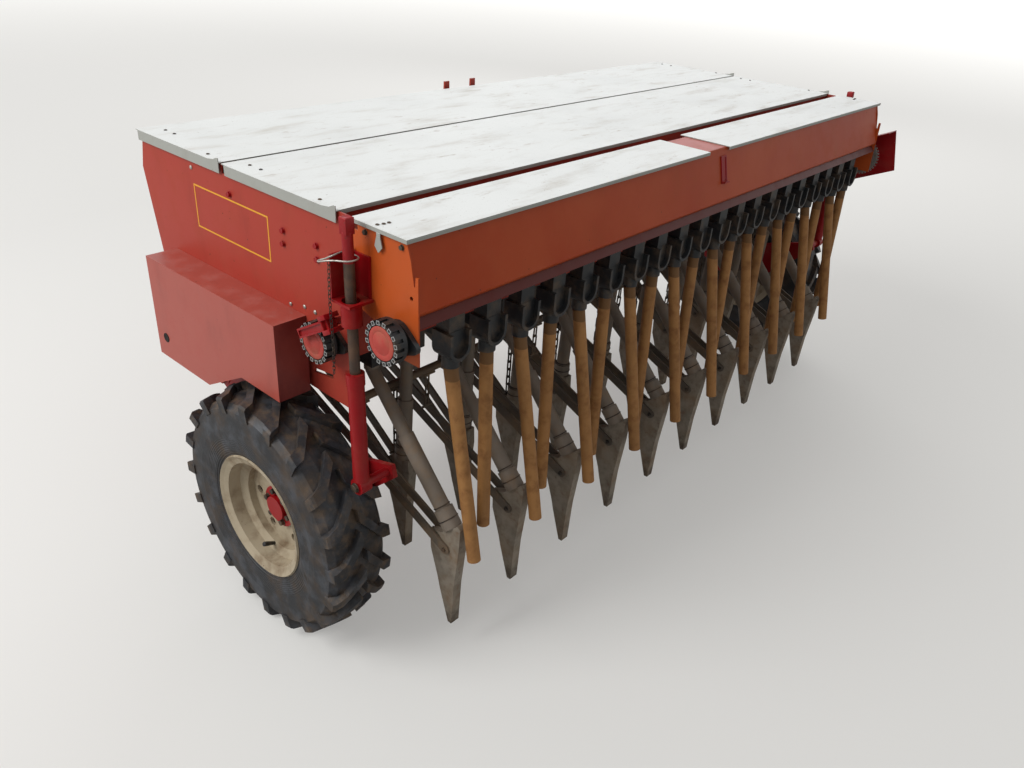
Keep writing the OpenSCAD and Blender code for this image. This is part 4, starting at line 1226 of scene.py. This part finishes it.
class DRILL_OT_studio(bpy.types.Operator):
    """Lays the floor and sets the lamps and the camera"""

    bl_idname = "drill.studio"
    bl_label = "Build the studio"

    def execute(self, context):
        bpy.ops.object.select_all(action="DESELECT")
        bpy.ops.mesh.primitive_plane_add(size=400, location=(0, 0, -0.0005))
        floor = context.active_object
        floor.name = "studio_floor"
        material, tree, out, at = new_material("studio_floor_pale")
        path = add(tree, "ShaderNodeLightPath", (0, 200))
        far = add(
            tree, "ShaderNodeVectorMath", (-200, 400), {0: at.outputs["Object"]},
            operation="LENGTH",
        )
        # The floor turns white where it meets the white backdrop
        glow = add(
            tree, "ShaderNodeMapRange", (0, 400),
            {"Value": far.outputs["Value"], "From Min": 3.0, "From Max": 22.0, "To Min": 0.3,
             "To Max": 0.95},
        )
        pale = add(
            tree, "ShaderNodeMath", (150, 200),
            {0: path.outputs["Is Camera Ray"], 1: glow.outputs["Result"]},
            operation="MULTIPLY",
        )
        shader = add(
            tree, "ShaderNodeBsdfPrincipled", (300, 0),
            {"Base Color": srgb("c0bfbc"), "Roughness": 0.9, "Emission Color": srgb("f4f3f0"),
             "Emission Strength": pale.outputs[0]},
        )
        tree.links.new(shader.outputs[0], out.inputs[0])
        floor.data.materials.append(material)
        self.light_world(context)
        self.add_lamps(context)
        self.add_camera(context)
        context.scene.view_settings.view_transform = "Standard"
        return {"FINISHED"}

    def light_world(self, context):
        """Even grey light, and white where a camera, glossy or transmitted ray sees the world."""
        world = bpy.data.worlds.new("studio_world")
        context.scene.world = world
        world.use_nodes = True
        tree = world.node_tree
        tree.nodes.clear()
        path = add(tree, "ShaderNodeLightPath", (-600, 0))
        seen = add(
            tree, "ShaderNodeMath", (-400, 0),
            {0: path.outputs["Is Camera Ray"], 1: path.outputs["Is Glossy Ray"]},
            operation="MAXIMUM",
        )
        seen = add(
            tree, "ShaderNodeMath", (-250, 0),
            {0: seen.outputs[0], 1: path.outputs["Is Transmission Ray"]}, operation="MAXIMUM",
        )
        strength = add(
            tree, "ShaderNodeMapRange", (-100, 0),
            {"Value": seen.outputs[0], "To Min": 0.45, "To Max": 1.0},
        )
        sky = add(
            tree, "ShaderNodeBackground", (100, 0),
            {"Color": (1, 1, 1, 1), "Strength": strength.outputs["Result"]},
        )
        out = add(tree, "ShaderNodeOutputWorld", (300, 0))
        tree.links.new(sky.outputs[0], out.inputs[0])

    def add_lamps(self, context):
        """Two soft lamps: a high one on the left and ahead, and a weak one over the right."""
        target = Vector((0, 0, 0.6))
        for name, place, size, watts in (
            ("key_lamp", (-6.0, 1.6, 5.0), 4.0, 360),
            ("fill_lamp", (5.0, 2.5, 4.5), 6.0, 130),
        ):
            bpy.ops.object.light_add(type="AREA", location=place)
            lamp = context.active_object
            lamp.name = name
            lamp.data.size = size
            lamp.data.energy = watts
            aim = target - Vector(place)
            lamp.rotation_euler = aim.to_track_quat("-Z", "Y").to_euler()

    def add_camera(self, context):
        """The picture was taken from the rear left, 1.84 m up, with a slight tilt."""
        yaw, pitch, roll = (math.radians(a) for a in CAMERA_TURN)
        aim = Vector((-math.sin(yaw) * math.cos(pitch), math.cos(yaw) * math.cos(pitch),
                      math.sin(pitch)))
        side = aim.cross(Vector((0, 0, 1))).normalized()
        up = side.cross(aim)
        right = side * math.cos(roll) + up * math.sin(roll)
        top = -side * math.sin(roll) + up * math.cos(roll)
        bpy.ops.object.camera_add()
        camera = context.active_object
        camera.name = "picture_camera"
        turn = Matrix((right, top, -aim)).transposed().to_4x4()
        x, y, z = CAMERA_PLACE
        camera.matrix_world = Matrix.Translation((x, AXLE_Y + y, z)) @ turn
        camera.data.lens = context.scene.drill_sizes.lens
        camera.data.sensor_width = 36
        camera.data.clip_end = 600
        context.scene.camera = camera


class DRILL_PT_panel(bpy.types.Panel):
    """Sizes, colours and steps of the drill"""

    bl_label = "Seed Drill"
    bl_idname = "DRILL_PT_panel"
    bl_space_type = "VIEW_3D"
    bl_region_type = "UI"
    bl_category = "Seed Drill"

    def draw(self, context):
        layout = self.layout
        for group in (context.scene.drill_colours, context.scene.drill_sizes):
            for name in group.__annotations__:
                layout.prop(group, name)
        for step in STEPS:
            layout.operator(step.bl_idname)


STEPS = (
    DRILL_OT_paint,
    DRILL_OT_lid_edges,
    DRILL_OT_fasteners,
    DRILL_OT_knob_faces,
    DRILL_OT_blank_frame,
    DRILL_OT_wheel_fittings,
    DRILL_OT_collar_wires,
    DRILL_OT_lever,
    DRILL_OT_rods,
    DRILL_OT_pin_clips,
    DRILL_OT_rear_hook,
    DRILL_OT_studio,
)
CLASSES = (DrillColours, DrillSizes) + STEPS + (DRILL_PT_panel,)


def register():
    """Makes the classes and the two groups known."""
    for item in CLASSES:
        bpy.utils.register_class(item)
    bpy.types.Scene.drill_colours = PointerProperty(type=DrillColours)
    bpy.types.Scene.drill_sizes = PointerProperty(type=DrillSizes)


def unregister():
    """Takes the classes and the two groups away again."""
    del bpy.types.Scene.drill_sizes
    del bpy.types.Scene.drill_colours
    for item in reversed(CLASSES):
        bpy.utils.unregister_class(item)


def main():
    """Runs every step in order."""
    register()
    bpy.ops.drill.paint()
    bpy.ops.drill.lid_edges()
    bpy.ops.drill.fasteners()
    bpy.ops.drill.knob_faces()
    bpy.ops.drill.blank_frame()
    bpy.ops.drill.wheel_fittings()
    bpy.ops.drill.collar_wires()
    bpy.ops.drill.lever()
    bpy.ops.drill.rods()
    bpy.ops.drill.pin_clips()
    bpy.ops.drill.rear_hook()
    bpy.ops.drill.studio()


if __name__ == "__main__":
    main()
